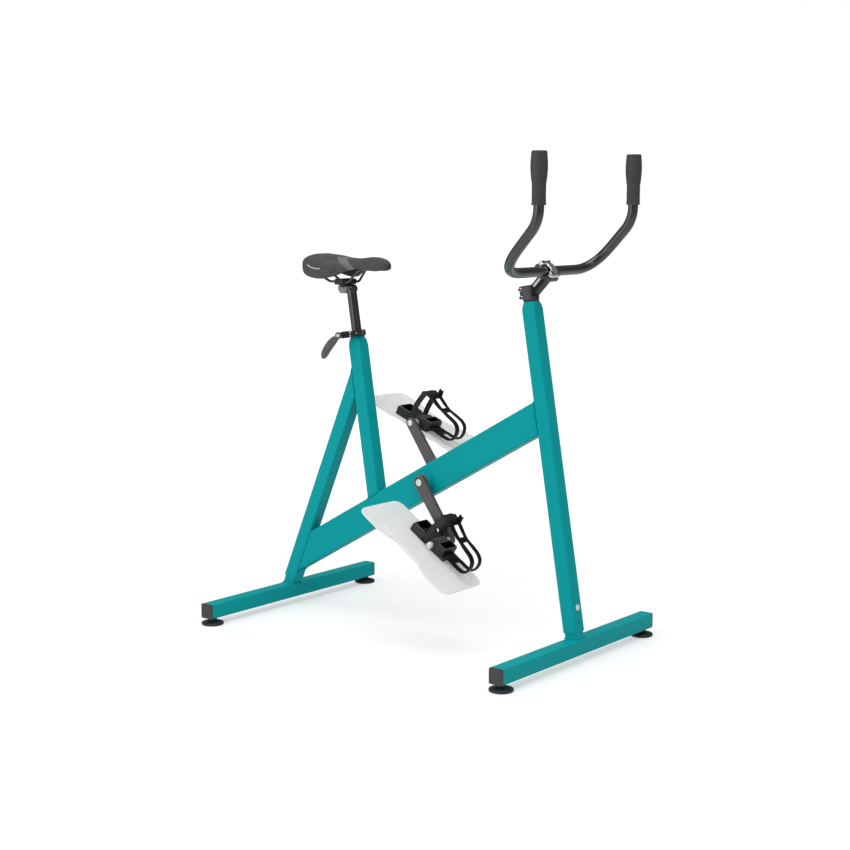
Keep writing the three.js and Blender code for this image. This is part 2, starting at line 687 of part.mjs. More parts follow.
function levellingPad() {
  return turnedProfile([
    [0, 0],
    [PAD_RADIUS - PAD_BEVEL, 0],
    [PAD_RADIUS, PAD_BEVEL],
    [PAD_RADIUS, PAD_RIM],
    [PAD_NECK_RADIUS + PAD_DOME, PAD_RIM + PAD_DOME],
    [PAD_NECK_RADIUS, PAD_RIM + PAD_DOME + PAD_BEVEL],
    [PAD_NECK_RADIUS, PAD_HEIGHT],
    [STUD_RADIUS, PAD_HEIGHT],
    [STUD_RADIUS, PAD_HEIGHT + STUD_LENGTH],
    [0, PAD_HEIGHT + STUD_LENGTH],
  ], SMALL_SIDES);
}

function buildFrame(parent) {
  for (const [end, x] of [['rear', 0], ['front', FOOT_SPACING]]) {
    const foot = turned(parent, x, 0, FOOT_Z);
    add(foot, `${end}_foot_tube`, footTube(), looks.frame());
    for (const [hand, side] of [['right', -1], ['left', 1]]) {
      add(foot, `${end}_foot_cap_${hand}`, footCap(side), looks.cap());
      const pad = turned(parent, x, side * (FOOT_LENGTH / 2 - PAD_INSET), 0);
      add(pad, `${end}_levelling_pad_${hand}`, levellingPad(), looks.cap());
    }
  }
  add(parent, 'rear_brace', rearBrace(), looks.frame());
  add(parent, 'seat_tube', seatTube(), looks.frame());
  add(parent, 'main_beam', mainBeam(), looks.frame());

  const brace = turned(parent, BRACE_X, 0, FOOT_Z, BRACE_LEAN);
  const braceFoot = TUBE_HALF / Math.cos(BRACE_LEAN);
  add(brace, 'rear_foot_spigot', spigot(BRACE_LEAN, braceFoot, []), looks.frame());

  const post = turned(parent, FOOT_SPACING, 0, FOOT_Z, -POST_RAKE);
  add(post, 'front_post', frontPost(), looks.frame());
  const hole = postHole(FRAME_BOLT_RADIUS + SEAT_GAP, BOLT_Z);
  add(post, 'front_foot_spigot', spigot(-POST_RAKE, POST_FOOT, [hole]), looks.frame());
  add(post, 'front_post_bolt', frontPostBolt(), looks.steel());
  add(post, 'front_post_sleeve', postSleeve(), looks.frame());
  return post;
}

// Bottom bracket, built along Y
function buildBracket(parent) {
  const bracket = turned(parent, BRACKET_X, 0, BRACKET_Z);
  const bore = SHELL_RADIUS - SHELL_WALL;
  const shell = alongY(pipe(SHELL_RADIUS, bore, -SHELL_HALF, SHELL_HALF));
  add(bracket, 'bottom_bracket_shell', shell, looks.frame());
  const inner = SPINDLE_RADIUS + RUNNING_GAP;
  const face = SHELL_HALF + SEAT_GAP;
  for (const [hand, side] of [['right', -1], ['left', 1]]) {
    const cup = turnedProfile([
      [inner, SHELL_HALF - CUP_DEPTH],
      [bore - SEAT_GAP, SHELL_HALF - CUP_DEPTH],
      [bore - SEAT_GAP, face],
      [CUP_FLANGE_RADIUS, face],
      [CUP_FLANGE_RADIUS, face + CUP_FLANGE],
      [inner, face + CUP_FLANGE],
      [inner, SHELL_HALF - CUP_DEPTH],
    ]);
    add(bracket, `bearing_cup_${hand}`, cup.rotateX(-side * RIGHT_ANGLE), looks.crank());
  }
  return bracket;
}

function spindle() {
  const shaft = rod(SPINDLE_RADIUS, -SPINDLE_HALF, SPINDLE_HALF);
  const depth = SPINDLE_HALF - CRANK_BOLT_LENGTH - SEAT_GAP;
  const ends = [-1, 1].map((side) => {
    const [low, high] = ordered(side * depth, side * (SPINDLE_HALF + OVERRUN));
    return rod(CRANK_BOLT_RADIUS + SEAT_GAP, low, high, SMALL_SIDES);
  });
  return alongY(asGeometry(cut(shaft, ...ends)));
}

// Outline of a bar between two circles, from the hub down to the tip
function armShape(hubRadius, tipRadius, length) {
  const shape = new THREE.Shape();
  const flank = Math.asin((hubRadius - tipRadius) / length);
  shape.absarc(0, 0, hubRadius, flank, Math.PI - flank, false);
  shape.absarc(0, -length, tipRadius, Math.PI - flank, FULL_TURN + flank, false);
  return shape;
}

function crank(side) {
  const inner = side * CRANK_INNER;
  const outer = side * CRANK_OUTER;
  const outline = armShape(CRANK_HUB_RADIUS, CRANK_TIP_RADIUS, CRANK_LENGTH);
  const arm = sidePlate(outline, inner, outer, PLATE_STEPS);
  const panelLength = CRANK_LENGTH - CRANK_HUB_RADIUS - CRANK_TIP_RADIUS - CRANK_RECESS_RIM;
  const rim = CRANK_RECESS_RIM;
  const panel = armShape(CRANK_HUB_RADIUS - rim, CRANK_TIP_RADIUS - rim, panelLength);
  const floor = side * (CRANK_OUTER - CRANK_RECESS);
  const recess = sidePlate(panel, floor, side * (CRANK_OUTER + OVERRUN));
  recess.translate(0, 0, -CRANK_HUB_RADIUS - CRANK_RECESS_RIM);
  const across = (radius, from, to, sides) => {
    const [low, high] = ordered(side * from, side * to);
    return alongY(rod(radius, -high, -low, sides)).scale(1, -1, 1);
  };
  const step = CRANK_OUTER - CRANK_COUNTERBORE;
  const eye = across(SPINDLE_RADIUS + SEAT_GAP, CRANK_INNER - OVERRUN, step + SEAT_GAP);
  const sink = across(CRANK_BOLT_HEAD + SEAT_GAP, step, CRANK_OUTER + OVERRUN);
  const thread = across(AXLE_RADIUS + SEAT_GAP, CRANK_INNER - OVERRUN, CRANK_OUTER + OVERRUN);
  return cut(arm, recess, eye, sink, thread.translate(0, 0, -CRANK_LENGTH));
}

function crankBolt(side) {
  const seat = CRANK_OUTER - CRANK_COUNTERBORE + SEAT_GAP;
  const face = seat + CRANK_BOLT_HEAD_DEPTH;
  const profile = [
    [0, seat - CRANK_BOLT_LENGTH],
    [CRANK_BOLT_RADIUS, seat - CRANK_BOLT_LENGTH],
    [CRANK_BOLT_RADIUS, seat],
    [CRANK_BOLT_HEAD, seat],
    [CRANK_BOLT_HEAD, face - CRANK_BOLT_HEAD_DEPTH / 4],
    [CRANK_BOLT_HEAD * BOLT_FACE_SHARE, face],
    [CRANK_BOLT_HEAD * BOLT_SOCKET_SHARE, face],
    [CRANK_BOLT_HEAD * BOLT_SOCKET_SHARE, face - CRANK_BOLT_HEAD_DEPTH / 2],
    [0, face - CRANK_BOLT_HEAD_DEPTH / 2],
  ];
  return turnedProfile(profile, SMALL_SIDES).rotateX(-side * RIGHT_ANGLE);
}

// Pedal axle: its thread fills the crank's eye, a collar follows, then the bearing shaft
function pedalAxle(side) {
  const collar = CRANK_OUTER + SEAT_GAP;
  const end = PEDAL_OUTER + AXLE_NUT_LENGTH;
  const profile = [
    [0, CRANK_INNER],
    [AXLE_RADIUS, CRANK_INNER],
    [AXLE_RADIUS, collar],
    [AXLE_COLLAR_RADIUS, collar],
    [AXLE_COLLAR_RADIUS, collar + AXLE_COLLAR_LENGTH],
    [AXLE_RADIUS, collar + AXLE_COLLAR_LENGTH + AXLE_COLLAR_RADIUS - AXLE_RADIUS],
    [AXLE_RADIUS, end],
    [0, end],
  ];
  return turnedProfile(profile).rotateX(-side * RIGHT_ANGLE);
}

function axleNut(side) {
  const seat = PEDAL_OUTER + SEAT_GAP;
  const crown = seat + AXLE_NUT_LENGTH + AXLE_NUT_RADIUS / 2;
  const floor = PEDAL_OUTER + AXLE_NUT_LENGTH + SEAT_GAP;
  const profile = [
    [AXLE_RADIUS + SEAT_GAP, seat],
    [AXLE_NUT_RADIUS, seat],
    [AXLE_NUT_RADIUS, crown - AXLE_NUT_RADIUS / 2],
    [AXLE_NUT_RADIUS / 2, crown],
    [0, crown],
    [0, floor],
    [AXLE_RADIUS + SEAT_GAP, floor],
    [AXLE_RADIUS + SEAT_GAP, seat],
  ];
  return turnedProfile(profile, SMALL_SIDES).rotateX(-side * RIGHT_ANGLE);
}

// Pedal body: two open cells on either side of the axle barrel, with a slot for the strap
function pedalBody(side) {
  const [u0, u1] = [-PEDAL_REAR, PEDAL_FRONT];
  const rearCellEnd = u0 + PEDAL_WALL + PEDAL_REAR_CELL;
  const frontCell = u1 - PEDAL_WALL - PEDAL_FRONT_CELL;
  const outline = roundedShape([
    [u0, -PEDAL_BOTTOM, EDGE],
    [u0, PEDAL_REAR_TOP, PEDAL_CHAMFER],
    [rearCellEnd + PEDAL_WALL / 2, PEDAL_REAR_TOP, EDGE],
    [rearCellEnd + PEDAL_WALL, PEDAL_MIDDLE_TOP, EDGE],
    [-PEDAL_BARREL, PEDAL_MIDDLE_TOP, EDGE],
    [-PEDAL_BARREL / 2, PEDAL_BARREL_TOP, PEDAL_BARREL / 2],
    [frontCell - PEDAL_WALL, PEDAL_BARREL_TOP, EDGE],
    [frontCell - PEDAL_WALL / 2, PEDAL_FRONT_TOP, EDGE],
    [u1, PEDAL_FRONT_TOP, PEDAL_CHAMFER],
    [u1, -PEDAL_BOTTOM * PEDAL_NOSE_SHARE, PEDAL_CHAMFER],
    [u1 - PEDAL_LUG_WIDTH, -PEDAL_BOTTOM, EDGE],
  ]);
  const yInner = side * PEDAL_INNER;
  const yOuter = side * PEDAL_OUTER;
  const [y0, y1] = ordered(side * (PEDAL_INNER + PEDAL_WALL), side * (PEDAL_OUTER - PEDAL_WALL));
  const rearCell = block(u0 + PEDAL_WALL, rearCellEnd, y0, y1, -PEDAL_BOTTOM / 2, PEDAL_REAR_TOP + OVERRUN);
  const front = block(frontCell, u1 - PEDAL_WALL, y0, y1, 0, PEDAL_FRONT_TOP + OVERRUN);
  const [a, b] = ordered(side * (PEDAL_INNER - OVERRUN), side * (PEDAL_OUTER + OVERRUN));
  const bearing = alongY(rod(AXLE_RADIUS + RUNNING_GAP, a, b));
  const slack = STRAP_THICKNESS;
  const reach = STRAP_WIDTH / 2 + slack;
  const slot = block(-STRAP_SETBACK - reach, -STRAP_SETBACK + reach, a, b,
    -STRAP_DROP - slack, -STRAP_DROP + STRAP_CORNER);
  const lugOuter = side * (PEDAL_OUTER - PEDAL_LUG_WIDTH);
  const lugZ = -PEDAL_BOTTOM / 2;
  const eye = roundedShape([
    [u1 - PEDAL_LUG_RADIUS, lugZ - PEDAL_LUG_RADIUS, 0],
    [u1 + PEDAL_LUG_RADIUS * 2, lugZ - PEDAL_LUG_RADIUS, PEDAL_LUG_RADIUS],
    [u1 + PEDAL_LUG_RADIUS * 2, lugZ + PEDAL_LUG_RADIUS / 2, PEDAL_LUG_RADIUS],
    [u1 - PEDAL_LUG_RADIUS, lugZ + PEDAL_LUG_RADIUS / 2, 0],
  ]);
  const body = join(sidePlate(outline, yInner, yOuter), sidePlate(eye, lugOuter, yOuter));
  return cut(body, rearCell, front, bearing, slot);
}

// Toe clip: one bent strip, opened by slots so that two rails and a crossbar are left.
// Shares of its reach ahead of the pedal and of its height
const clipShares = [[0, 0], [0.3, 0], [0.62, 0], [0.8, 0.02], [0.93, 0.1], [0.994, 0.25], [1, 0.41],
  [0.94, 0.56], [0.79, 0.66], [0.56, 0.71], [0.29, 0.756], [0.045, 0.82], [-0.15, 0.9], [-0.31, 0.975]];
const bridgeShares = [0.3, -1.2]; // front and rear end of the bridge, in strap widths ahead of the axle
const slotShares = { tip: 0.38, shoulder: 0.5, crossbar: 0.27, upper: 0.12, bridge: -0.3, past: 1.2 };
const slotHeightShares = { low: 0.2, window: 0.3, upper: 0.5, past: 1.1 };
const waistShares = [-0.1, 0.2, 0.6];

function clipLine() {
  const start = PEDAL_FRONT + SEAT_GAP;
  const reach = CLIP_REACH - start - CLIP_THICKNESS / 2;
  const under = clipShares.map(([u, w]) => [start + reach * u, CLIP_HEIGHT * w]);
  const over = bridgeShares.map((share) => [STRAP_WIDTH * share, CLIP_HEIGHT]);
  const points = [...under, ...over].map(([u, w]) => new THREE.Vector2(u, w));
  return new THREE.SplineCurve(points).getPoints(CLIP_STEPS);
}

function clipStrip() {
  const line = clipLine();
  const edge = (offset) => line.map((point, i) => {
    const before = line[Math.max(i - 1, 0)];
    const after = line[Math.min(i + 1, line.length - 1)];
    const along = after.clone().sub(before).normalize();
    return new THREE.Vector2(point.x - along.y * offset, point.y + along.x * offset);
  });
  const half = CLIP_THICKNESS / 2;
  return new THREE.Shape([...edge(-half), ...edge(half).reverse()]);
}

// What is cut out of the strip: a pointed window below, two slots above and a waist on each side
function clipSlots(side) {
  const start = PEDAL_FRONT + SEAT_GAP;
  const reach = CLIP_REACH - start;
  const at = (share) => start + reach * share;
  const middle = side * (CLIP_INNER + CLIP_WIDTH / 2);
  const half = CLIP_SLOT_WIDTH / 2;
  const [y0, y1] = [middle - half, middle + half];
  const level = (share) => CLIP_HEIGHT * share;
  const window = planPlate(roundedShape([
    [at(slotShares.tip), middle, 0],
    [at(slotShares.shoulder), y0, 0],
    [at(slotShares.past), y0, 0],
    [at(slotShares.past), y1, 0],
    [at(slotShares.shoulder), y1, 0],
  ]), -CLIP_THICKNESS - OVERRUN, level(slotHeightShares.window));
  const nose = block(at(slotShares.crossbar), at(slotShares.past), y0, y1,
    level(slotHeightShares.low), CLIP_HEIGHT);
  const upper = block(at(slotShares.bridge), at(slotShares.upper), y0, y1,
    level(slotHeightShares.upper), level(slotHeightShares.past));
  const waists = [-1, 1].map((edge) => {
    const rim = middle + (edge * CLIP_WIDTH) / 2;
    const outside = rim + edge * OVERRUN;
    const [rear, waist, front] = waistShares.map(at);
    const outline = roundedShape([
      [rear, outside, 0],
      [rear, rim, 0],
      [waist, rim - edge * CLIP_WAIST, STRAP_WIDTH],
      [front, rim, 0],
      [front, outside, 0],
    ]);
    return planPlate(outline, level(slotHeightShares.window), level(slotHeightShares.past));
  });
  return [window, nose, upper, ...waists];
}

// The clip is the same on both pedals: its ear is on the rider's left
function clipEar(side) {
  const strapTop = -STRAP_SETBACK + (CLIP_HEIGHT + STRAP_DROP) * Math.tan(STRAP_LEAN);
  const start = strapTop + STRAP_WIDTH / 2 + STRAP_THICKNESS;
  const foot = CLIP_HEIGHT - CLIP_THICKNESS / 2;
  const top = CLIP_HEIGHT + CLIP_EAR_HEIGHT;
  const ear = roundedShape([
    [start, foot, 0],
    [start + STRAP_WIDTH, foot, 0],
    [start + CLIP_THICKNESS, top, EDGE],
    [start, top, EDGE],
  ]);
  const left = side < 0 ? -CLIP_INNER : CLIP_INNER + CLIP_WIDTH;
  return sidePlate(ear, left - CLIP_EAR_WIDTH, left);
}

function toeClip(side) {
  const strip = sidePlate(clipStrip(), side * CLIP_INNER, side * (CLIP_INNER + CLIP_WIDTH));
  return cut(join(strip, clipEar(side)), ...clipSlots(side));
}

// Strap: a closed band that leans forward from the pedal's slot to the clip's bridge
function toeStrap(side) {
  const inner = PEDAL_INNER - STRAP_CLEARANCE - STRAP_THICKNESS;
  const outer = PEDAL_OUTER + STRAP_CLEARANCE + STRAP_THICKNESS;
  const sag = (STRAP_WIDTH / 2) * Math.sin(STRAP_LEAN);
  const bridge = CLIP_HEIGHT + CLIP_THICKNESS / 2 + SEAT_GAP;
  const top = (bridge + sag + STRAP_DROP) / Math.cos(STRAP_LEAN) + STRAP_THICKNESS;
  const loop = (inset) => [
    [side * (inner + inset), inset, STRAP_CORNER - inset],
    [side * (outer - inset), inset, STRAP_CORNER - inset],
    [side * (outer - inset), top - inset, STRAP_CORNER - inset],
    [side * (inner + inset), top - inset, STRAP_CORNER - inset],
  ];
  const band = roundedShape(loop(0));
  band.holes.push(roundedShape(loop(STRAP_THICKNESS).reverse()));
  const flat = extruded(band, STRAP_WIDTH).translate(0, 0, -STRAP_WIDTH / 2);
  return flat.rotateX(RIGHT_ANGLE).rotateZ(RIGHT_ANGLE);
}

// Fin plate: a wide lobe, a flare and a narrower tail, in plan
function finPlate(side, tip, tail, z1) {
  const forward = Math.sign(tip);
  const lobe = tip - forward * FIN_LOBE;
  const neck = lobe - forward * FIN_FLARE;
  const neckOuter = FIN_OUTER - FIN_NECK_INSET_OUTER;
  const neckInner = FIN_INNER + FIN_NECK_INSET_INNER;
  const outline = roundedShape([
    [tail, side * neckInner, FIN_TAIL_CORNER],
    [neck, side * neckInner, FIN_CORNER],
    [lobe, side * FIN_INNER, FIN_CORNER],
    [tip, side * FIN_INNER, FIN_CORNER],
    [tip, side * FIN_OUTER, FIN_CORNER],
    [lobe, side * FIN_OUTER, FIN_CORNER],
    [neck, side * neckOuter, FIN_CORNER],
    [tail, side * neckOuter, FIN_TAIL_CORNER],
  ]);
  return planPlate(outline, z1 - FIN_THICKNESS, z1, FIN_STEPS);
}

function buildPedal(cranks, hand, side, pitch) {
  const tipZ = side < 0 ? -CRANK_LENGTH : CRANK_LENGTH;
  const axle = turned(cranks, 0, 0, tipZ);
  add(axle, `pedal_axle_${hand}`, pedalAxle(side), looks.steel());
  add(axle, `axle_nut_${hand}`, axleNut(side), looks.steel());
  const pedal = turned(cranks, 0, 0, tipZ, pitch + CRANK_ANGLE);
  add(pedal, `pedal_body_${hand}`, pedalBody(side), looks.plastic());
  add(pedal, `toe_clip_${hand}`, toeClip(side), looks.plastic());
  const strap = turned(pedal, -STRAP_SETBACK, 0, -STRAP_DROP, STRAP_LEAN);
  add(strap, `toe_strap_${hand}`, toeStrap(side), looks.rubber());
  const upper = -PEDAL_BOTTOM - SEAT_GAP;
  const lower = upper - FIN_THICKNESS - SEAT_GAP;
  add(pedal, `front_fin_${hand}`, finPlate(side, FIN_FRONT_TIP, -FIN_FRONT_TAIL, upper), looks.fin());
  add(pedal, `rear_fin_${hand}`, finPlate(side, -FIN_REAR_TIP, FIN_REAR_TAIL, lower), looks.fin());
}

function buildCranks(parent) {
  const cranks = turned(parent, BRACKET_X, 0, BRACKET_Z, -CRANK_ANGLE);
  add(cranks, 'bottom_bracket_spindle', spindle(), looks.steel());
  const opposite = turned(cranks, 0, 0, 0, Math.PI);
  for (const [hand, side, carrier] of [['right', -1, cranks], ['left', 1, opposite]]) {
    add(carrier, `crank_${hand}`, crank(side), looks.crank());
    add(carrier, `crank_bolt_${hand}`, crankBolt(side), looks.steel());
  }
  buildPedal(cranks, 'right', -1, PEDAL_PITCH_RIGHT);
  buildPedal(cranks, 'left', 1, PEDAL_PITCH_LEFT);
}

// Seat clamp, in a frame turned about the post: the skewer runs along x beside the post at -y
const COLLAR_MIDDLE = COLLAR_Z + COLLAR_HEIGHT / 2;

function clampCollar() {
  const bore = SLEEVE_RADIUS + SEAT_GAP;
  const z0 = COLLAR_Z;
  const z1 = COLLAR_Z + COLLAR_HEIGHT;
  const ring = rod(bore + COLLAR_WALL, z0, z1);
  const lugs = block(-LUG_HALF, LUG_HALF, -SKEWER_OFFSET - LUG_RADIUS, -bore / 2, z0, z1);
  const slot = block(-COLLAR_SLOT / 2, COLLAR_SLOT / 2, -SKEWER_OFFSET * 2, 0, z0 - OVERRUN, z1 + OVERRUN);
  const hole = alongX(rod(SKEWER_RADIUS + RUNNING_GAP, -TUBE_SIZE, TUBE_SIZE, SMALL_SIDES));
  hole.translate(0, -SKEWER_OFFSET, COLLAR_MIDDLE);
  const bored = rod(bore, z0 - OVERRUN, z1 + OVERRUN);
  return cut(join(ring, lugs), bored, slot, hole);
}

const onSkewer = (geometry) => alongX(geometry).translate(0, -SKEWER_OFFSET, COLLAR_MIDDLE);
const atPivot = (geometry) => geometry.translate(-LEVER_PIVOT, -SKEWER_OFFSET, COLLAR_MIDDLE);

function clampSkewer() {
  const shaft = onSkewer(rod(SKEWER_RADIUS, -LEVER_PIVOT, LUG_HALF + NUT_LENGTH, SMALL_SIDES));
  const barrel = atPivot(alongY(rod(PIVOT_RADIUS, -PIVOT_HALF, PIVOT_HALF, SMALL_SIDES)));
  return join(shaft, barrel);
}

function clampNut() {
  const seat = LUG_HALF + SEAT_GAP;
  const end = seat + NUT_LENGTH;
  const bore = SKEWER_RADIUS + SEAT_GAP;
  const profile = [
    [bore, seat],
    [NUT_RADIUS, seat],
    [NUT_RADIUS, end - NUT_RADIUS / 3],
    [NUT_RADIUS * NUT_TIP_SHARE, end],
    [bore, end],
    [bore, seat],
  ];
  return onSkewer(turnedProfile(profile, SMALL_SIDES));
}

function clampBush() {
  const seat = -LUG_HALF - SEAT_GAP;
  const bore = SKEWER_RADIUS + RUNNING_GAP;
  const end = -LEVER_PIVOT + CAM_RADIUS + CAM_THROW + SEAT_GAP;
  const waist = (seat - BUSH_FLANGE + end) / 2;
  const profile = [
    [bore, end],
    [BUSH_RADIUS, end],
    [BUSH_RADIUS * BUSH_WAIST_SHARE, waist],
    [BUSH_RADIUS, seat - BUSH_FLANGE],
    [BUSH_FLANGE_RADIUS, seat - BUSH_FLANGE],
    [BUSH_FLANGE_RADIUS, seat],
    [bore, seat],
    [bore, end],
  ];
  return onSkewer(turnedProfile(profile, SMALL_SIDES));
}

// Lever: a cam head with a slot for the skewer, and a leaf-shaped handle
const leafShares = [[0, 0.85], [0.14, 0.62], [0.32, 0.72], [0.55, 0.98], [0.78, 1], [0.93, 0.66], [1, 0.1]];

function quickReleaseLever() {
  const cam = alongY(rod(CAM_RADIUS, -LEVER_HALF_THICKNESS, LEVER_HALF_THICKNESS));
  const head = cam.translate(CAM_THROW, 0, 0);
  const edge = (sign) => leafShares.map(([along, across]) => new THREE.Vector2(
    LEVER_REACH * along,
    LEVER_HALF_WIDTH * (sign * across - LEVER_CURVE_SHARE * Math.sin(Math.PI * along)),
  ));
  const outline = new THREE.Shape([...edge(-1), ...edge(1).reverse()]);
  const half = LEVER_HALF_THICKNESS * LEVER_BLADE_SHARE;
  const blade = sidePlate(outline, -half, half);
  blade.rotateY(-LEVER_ANGLE);
  const eye = alongY(rod(PIVOT_RADIUS + RUNNING_GAP, -TUBE_SIZE, TUBE_SIZE));
  const sector = new THREE.Shape();
  sector.moveTo(0, 0);
  sector.lineTo(LEVER_PIVOT, 0);
  sector.absarc(0, 0, LEVER_PIVOT, 0, LEVER_TRAVEL, false);
  const slot = sidePlate(sector, -LEVER_SLOT, LEVER_SLOT, PLATE_STEPS);
  const shank = () => block(0, LEVER_PIVOT, -LEVER_SLOT, LEVER_SLOT, -LEVER_SLOT, LEVER_SLOT);
  const opened = shank().rotateY(-LEVER_TRAVEL);
  return atPivot(asGeometry(cut(join(head, blade), eye, slot, shank(), opened)));
}

function buildSeatClamp(seatAxis) {
  const clamp = turned(seatAxis, 0, 0, 0);
  clamp.rotation.z = COLLAR_TURN;
  add(clamp, 'seat_clamp_collar', clampCollar(), looks.black());
  add(clamp, 'clamp_skewer', clampSkewer(), looks.steel());
  add(clamp, 'clamp_nut', clampNut(), looks.black());
  add(clamp, 'clamp_bush', clampBush(), looks.alloy());
  add(clamp, 'quick_release_lever', quickReleaseLever(), looks.black());
}

// Head of the seat post, about the tilt axis; the post's own axis is leaned into that frame
const toPost = (geometry) => lean(geometry, -SEAT_RAKE, HEAD_SETBACK, -HEAD_RISE);
const toBolt = (geometry) => geometry.rotateY(CLAMP_BOLT_LEAN);
const HEAD_OUTER = CRADLE_RADIUS + SEAT_GAP + HEAD_WALL;

function seatPostHead() {
  const wedge = roundedShape([
    [-HEAD_LENGTH, -CRADLE_WING - CRADLE_WING / 2, EDGE],
    [-HEAD_LENGTH, -HEAD_OUTER + HEAD_BEVEL / 2, EDGE],
    [-HEAD_LENGTH + HEAD_BEVEL, -HEAD_DEPTH, HEAD_CORNER],
    [HEAD_SETBACK - SEAT_POST_RADIUS, -HEAD_DEPTH, 0],
    [HEAD_SETBACK, -HEAD_RISE, 0],
    [HEAD_SETBACK, -CRADLE_WING - CRADLE_WING / 2, HEAD_CORNER],
  ]);
  const width = HEAD_HALF_WIDTH;
  const casting = sidePlate(wedge, -width, width);
  const collar = toPost(rod(SEAT_POST_RADIUS, SEAT_GAP, HEAD_COLLAR));
  const plug = toPost(rod(SEAT_POST_RADIUS - SEAT_POST_WALL - SEAT_GAP, -HEAD_PLUG_DEPTH, HEAD_COLLAR / 2));
  const trough = alongY(rod(CRADLE_RADIUS + SEAT_GAP, -TUBE_SIZE, TUBE_SIZE));
  const tube = toPost(rod(SEAT_POST_RADIUS + SEAT_GAP, -TUBE_SIZE, SEAT_GAP));
  const level = -CRADLE_WING - CRADLE_HALF_LENGTH * Math.sin(TILT_RANGE) - SEAT_GAP;
  const above = block(-TRIM, TRIM, -TRIM, TRIM, level, TRIM);
  const pocketEnd = HEAD_SETBACK - SEAT_POST_RADIUS - SEAT_GAP;
  const pocketBlock = block(-TRIM, pocketEnd, -HEAD_POCKET_HALF, HEAD_POCKET_HALF, -TRIM, 0);
  const pocket = cut(pocketBlock, alongY(rod(HEAD_OUTER, -TUBE_SIZE, TUBE_SIZE)));
  const swing = HEAD_OUTER * Math.sin(TILT_RANGE) + CLAMP_BOLT_RADIUS + RUNNING_GAP;
  const shank = CLAMP_BOLT_RADIUS + RUNNING_GAP;
  const slot = toBolt(block(-swing, swing, -shank, shank, -HEAD_DEPTH - OVERRUN, 0));
  const body = cut(casting, tube, pocket);
  return cut(join(body, collar, plug), trough, above, slot);
}

// Cradle and clamp plate: two halves round the rails, with the bolt between them
const railBores = () => [-1, 1].map((side) =>
  alongX(rod(RAIL_RADIUS + SEAT_GAP, -TUBE_SIZE, TUBE_SIZE)).translate(0, side * RAIL_HALF_SPACING, 0));
const boltBore = () => toBolt(rod(CLAMP_BOLT_RADIUS + SEAT_GAP, -HEAD_DEPTH, HEAD_DEPTH, SMALL_SIDES));

function railCradle() {
  const half = CRADLE_HALF_LENGTH;
  const wings = block(-half, half, -CRADLE_HALF_WIDTH, CRADLE_HALF_WIDTH, -CRADLE_WING, -SEAT_GAP);
  const drum = alongY(rod(CRADLE_RADIUS, -HEAD_HALF_WIDTH, HEAD_HALF_WIDTH));
  const upper = block(-TRIM, TRIM, -TRIM, TRIM, -SEAT_GAP, TRIM);
  return cut(join(wings, drum), upper, ...railBores(), boltBore());
}

function railClamp() {
  const half = CRADLE_HALF_LENGTH;
  const outline = roundedShape([
    [-half, SEAT_GAP, 0],
    [half, SEAT_GAP, 0],
    [half, CRADLE_WING, CLAMP_BEVEL],
    [-half, CRADLE_WING, CLAMP_BEVEL],
  ]);
  const plate = sidePlate(outline, -CRADLE_HALF_WIDTH, CRADLE_HALF_WIDTH);
  return cut(plate, ...railBores(), boltBore());
}

function cradleBolt() {
  const seat = -HEAD_OUTER - SEAT_GAP;
  const profile = [
    [0, seat - CLAMP_BOLT_HEAD_LENGTH],
    [CLAMP_BOLT_HEAD, seat - CLAMP_BOLT_HEAD_LENGTH],
    [CLAMP_BOLT_HEAD, seat],
    [CLAMP_BOLT_RADIUS, seat],
    [CLAMP_BOLT_RADIUS, CRADLE_WING],
    [0, CRADLE_WING],
  ];
  return toBolt(turnedProfile(profile, SMALL_SIDES));
}

// Saddle surface. Each station: [along, half width, crown, edge] as shares of the saddle's sizes
const stationShares = [
  [0, 0.60, 0.73, 0.58],
  [0.03, 0.79, 0.90, 0.45],
  [0.08, 0.91, 0.97, 0.25],
  [0.15, 0.985, 1, 0.12],
  [0.25, 1, 0.97, 0.03],
  [0.34, 0.95, 0.94, 0.01],
  [0.42, 0.82, 0.90, 0.075],
  [0.50, 0.645, 0.87, 0.21],
  [0.58, 0.49, 0.865, 0.34],
  [0.67, 0.37, 0.88, 0.42],
  [0.76, 0.31, 0.90, 0.39],
  [0.85, 0.276, 0.895, 0.34],
  [0.92, 0.243, 0.85, 0.36],
  [0.97, 0.184, 0.775, 0.43],
  [1, 0.08, 0.66, 0.55],
];
const SADDLE_STATIONS = 20;
const SADDLE_STRIPS = 8; // on each side of the middle
const SECTION_POWER_SHARE = 0.83; // roundness of the cross-section
const channelShares = [0.08, 0.72]; // where the channel starts and how long it is
const SKIN_SHARE = 0.9; // of a row of points; the rest is tucked under the edge
const TUCK_SHARE = 0.06; // how far the tucked edge turns in
const SINK_SHARE = 0.6; // the most that a layer takes of the height
const LEAST_WIDTH_SHARE = 0.3; // and of the width it leaves

function station(t) {
  const place = t * (stationShares.length - 1);
  const first = Math.min(Math.floor(place), stationShares.length - 2);
  const blend = place - first;
  const [along, width, crown, edge] = stationShares[first].map((v, k) =>
    v + (stationShares[first + 1][k] - v) * blend);
  const within = Math.min(Math.max((along - channelShares[0]) / channelShares[1], 0), 1);
  return {
    x: -SADDLE_SETBACK + SADDLE_LENGTH * along,
    half: (SADDLE_WIDTH / 2) * width,
    crown: SADDLE_EDGE + SADDLE_DEPTH * crown,
    edge: SADDLE_EDGE + SADDLE_DEPTH * edge,
    channel: CHANNEL_DEPTH * Math.sin(Math.PI * within),
    bow: SADDLE_BOW * (1 - along) ** 6,
  };
}

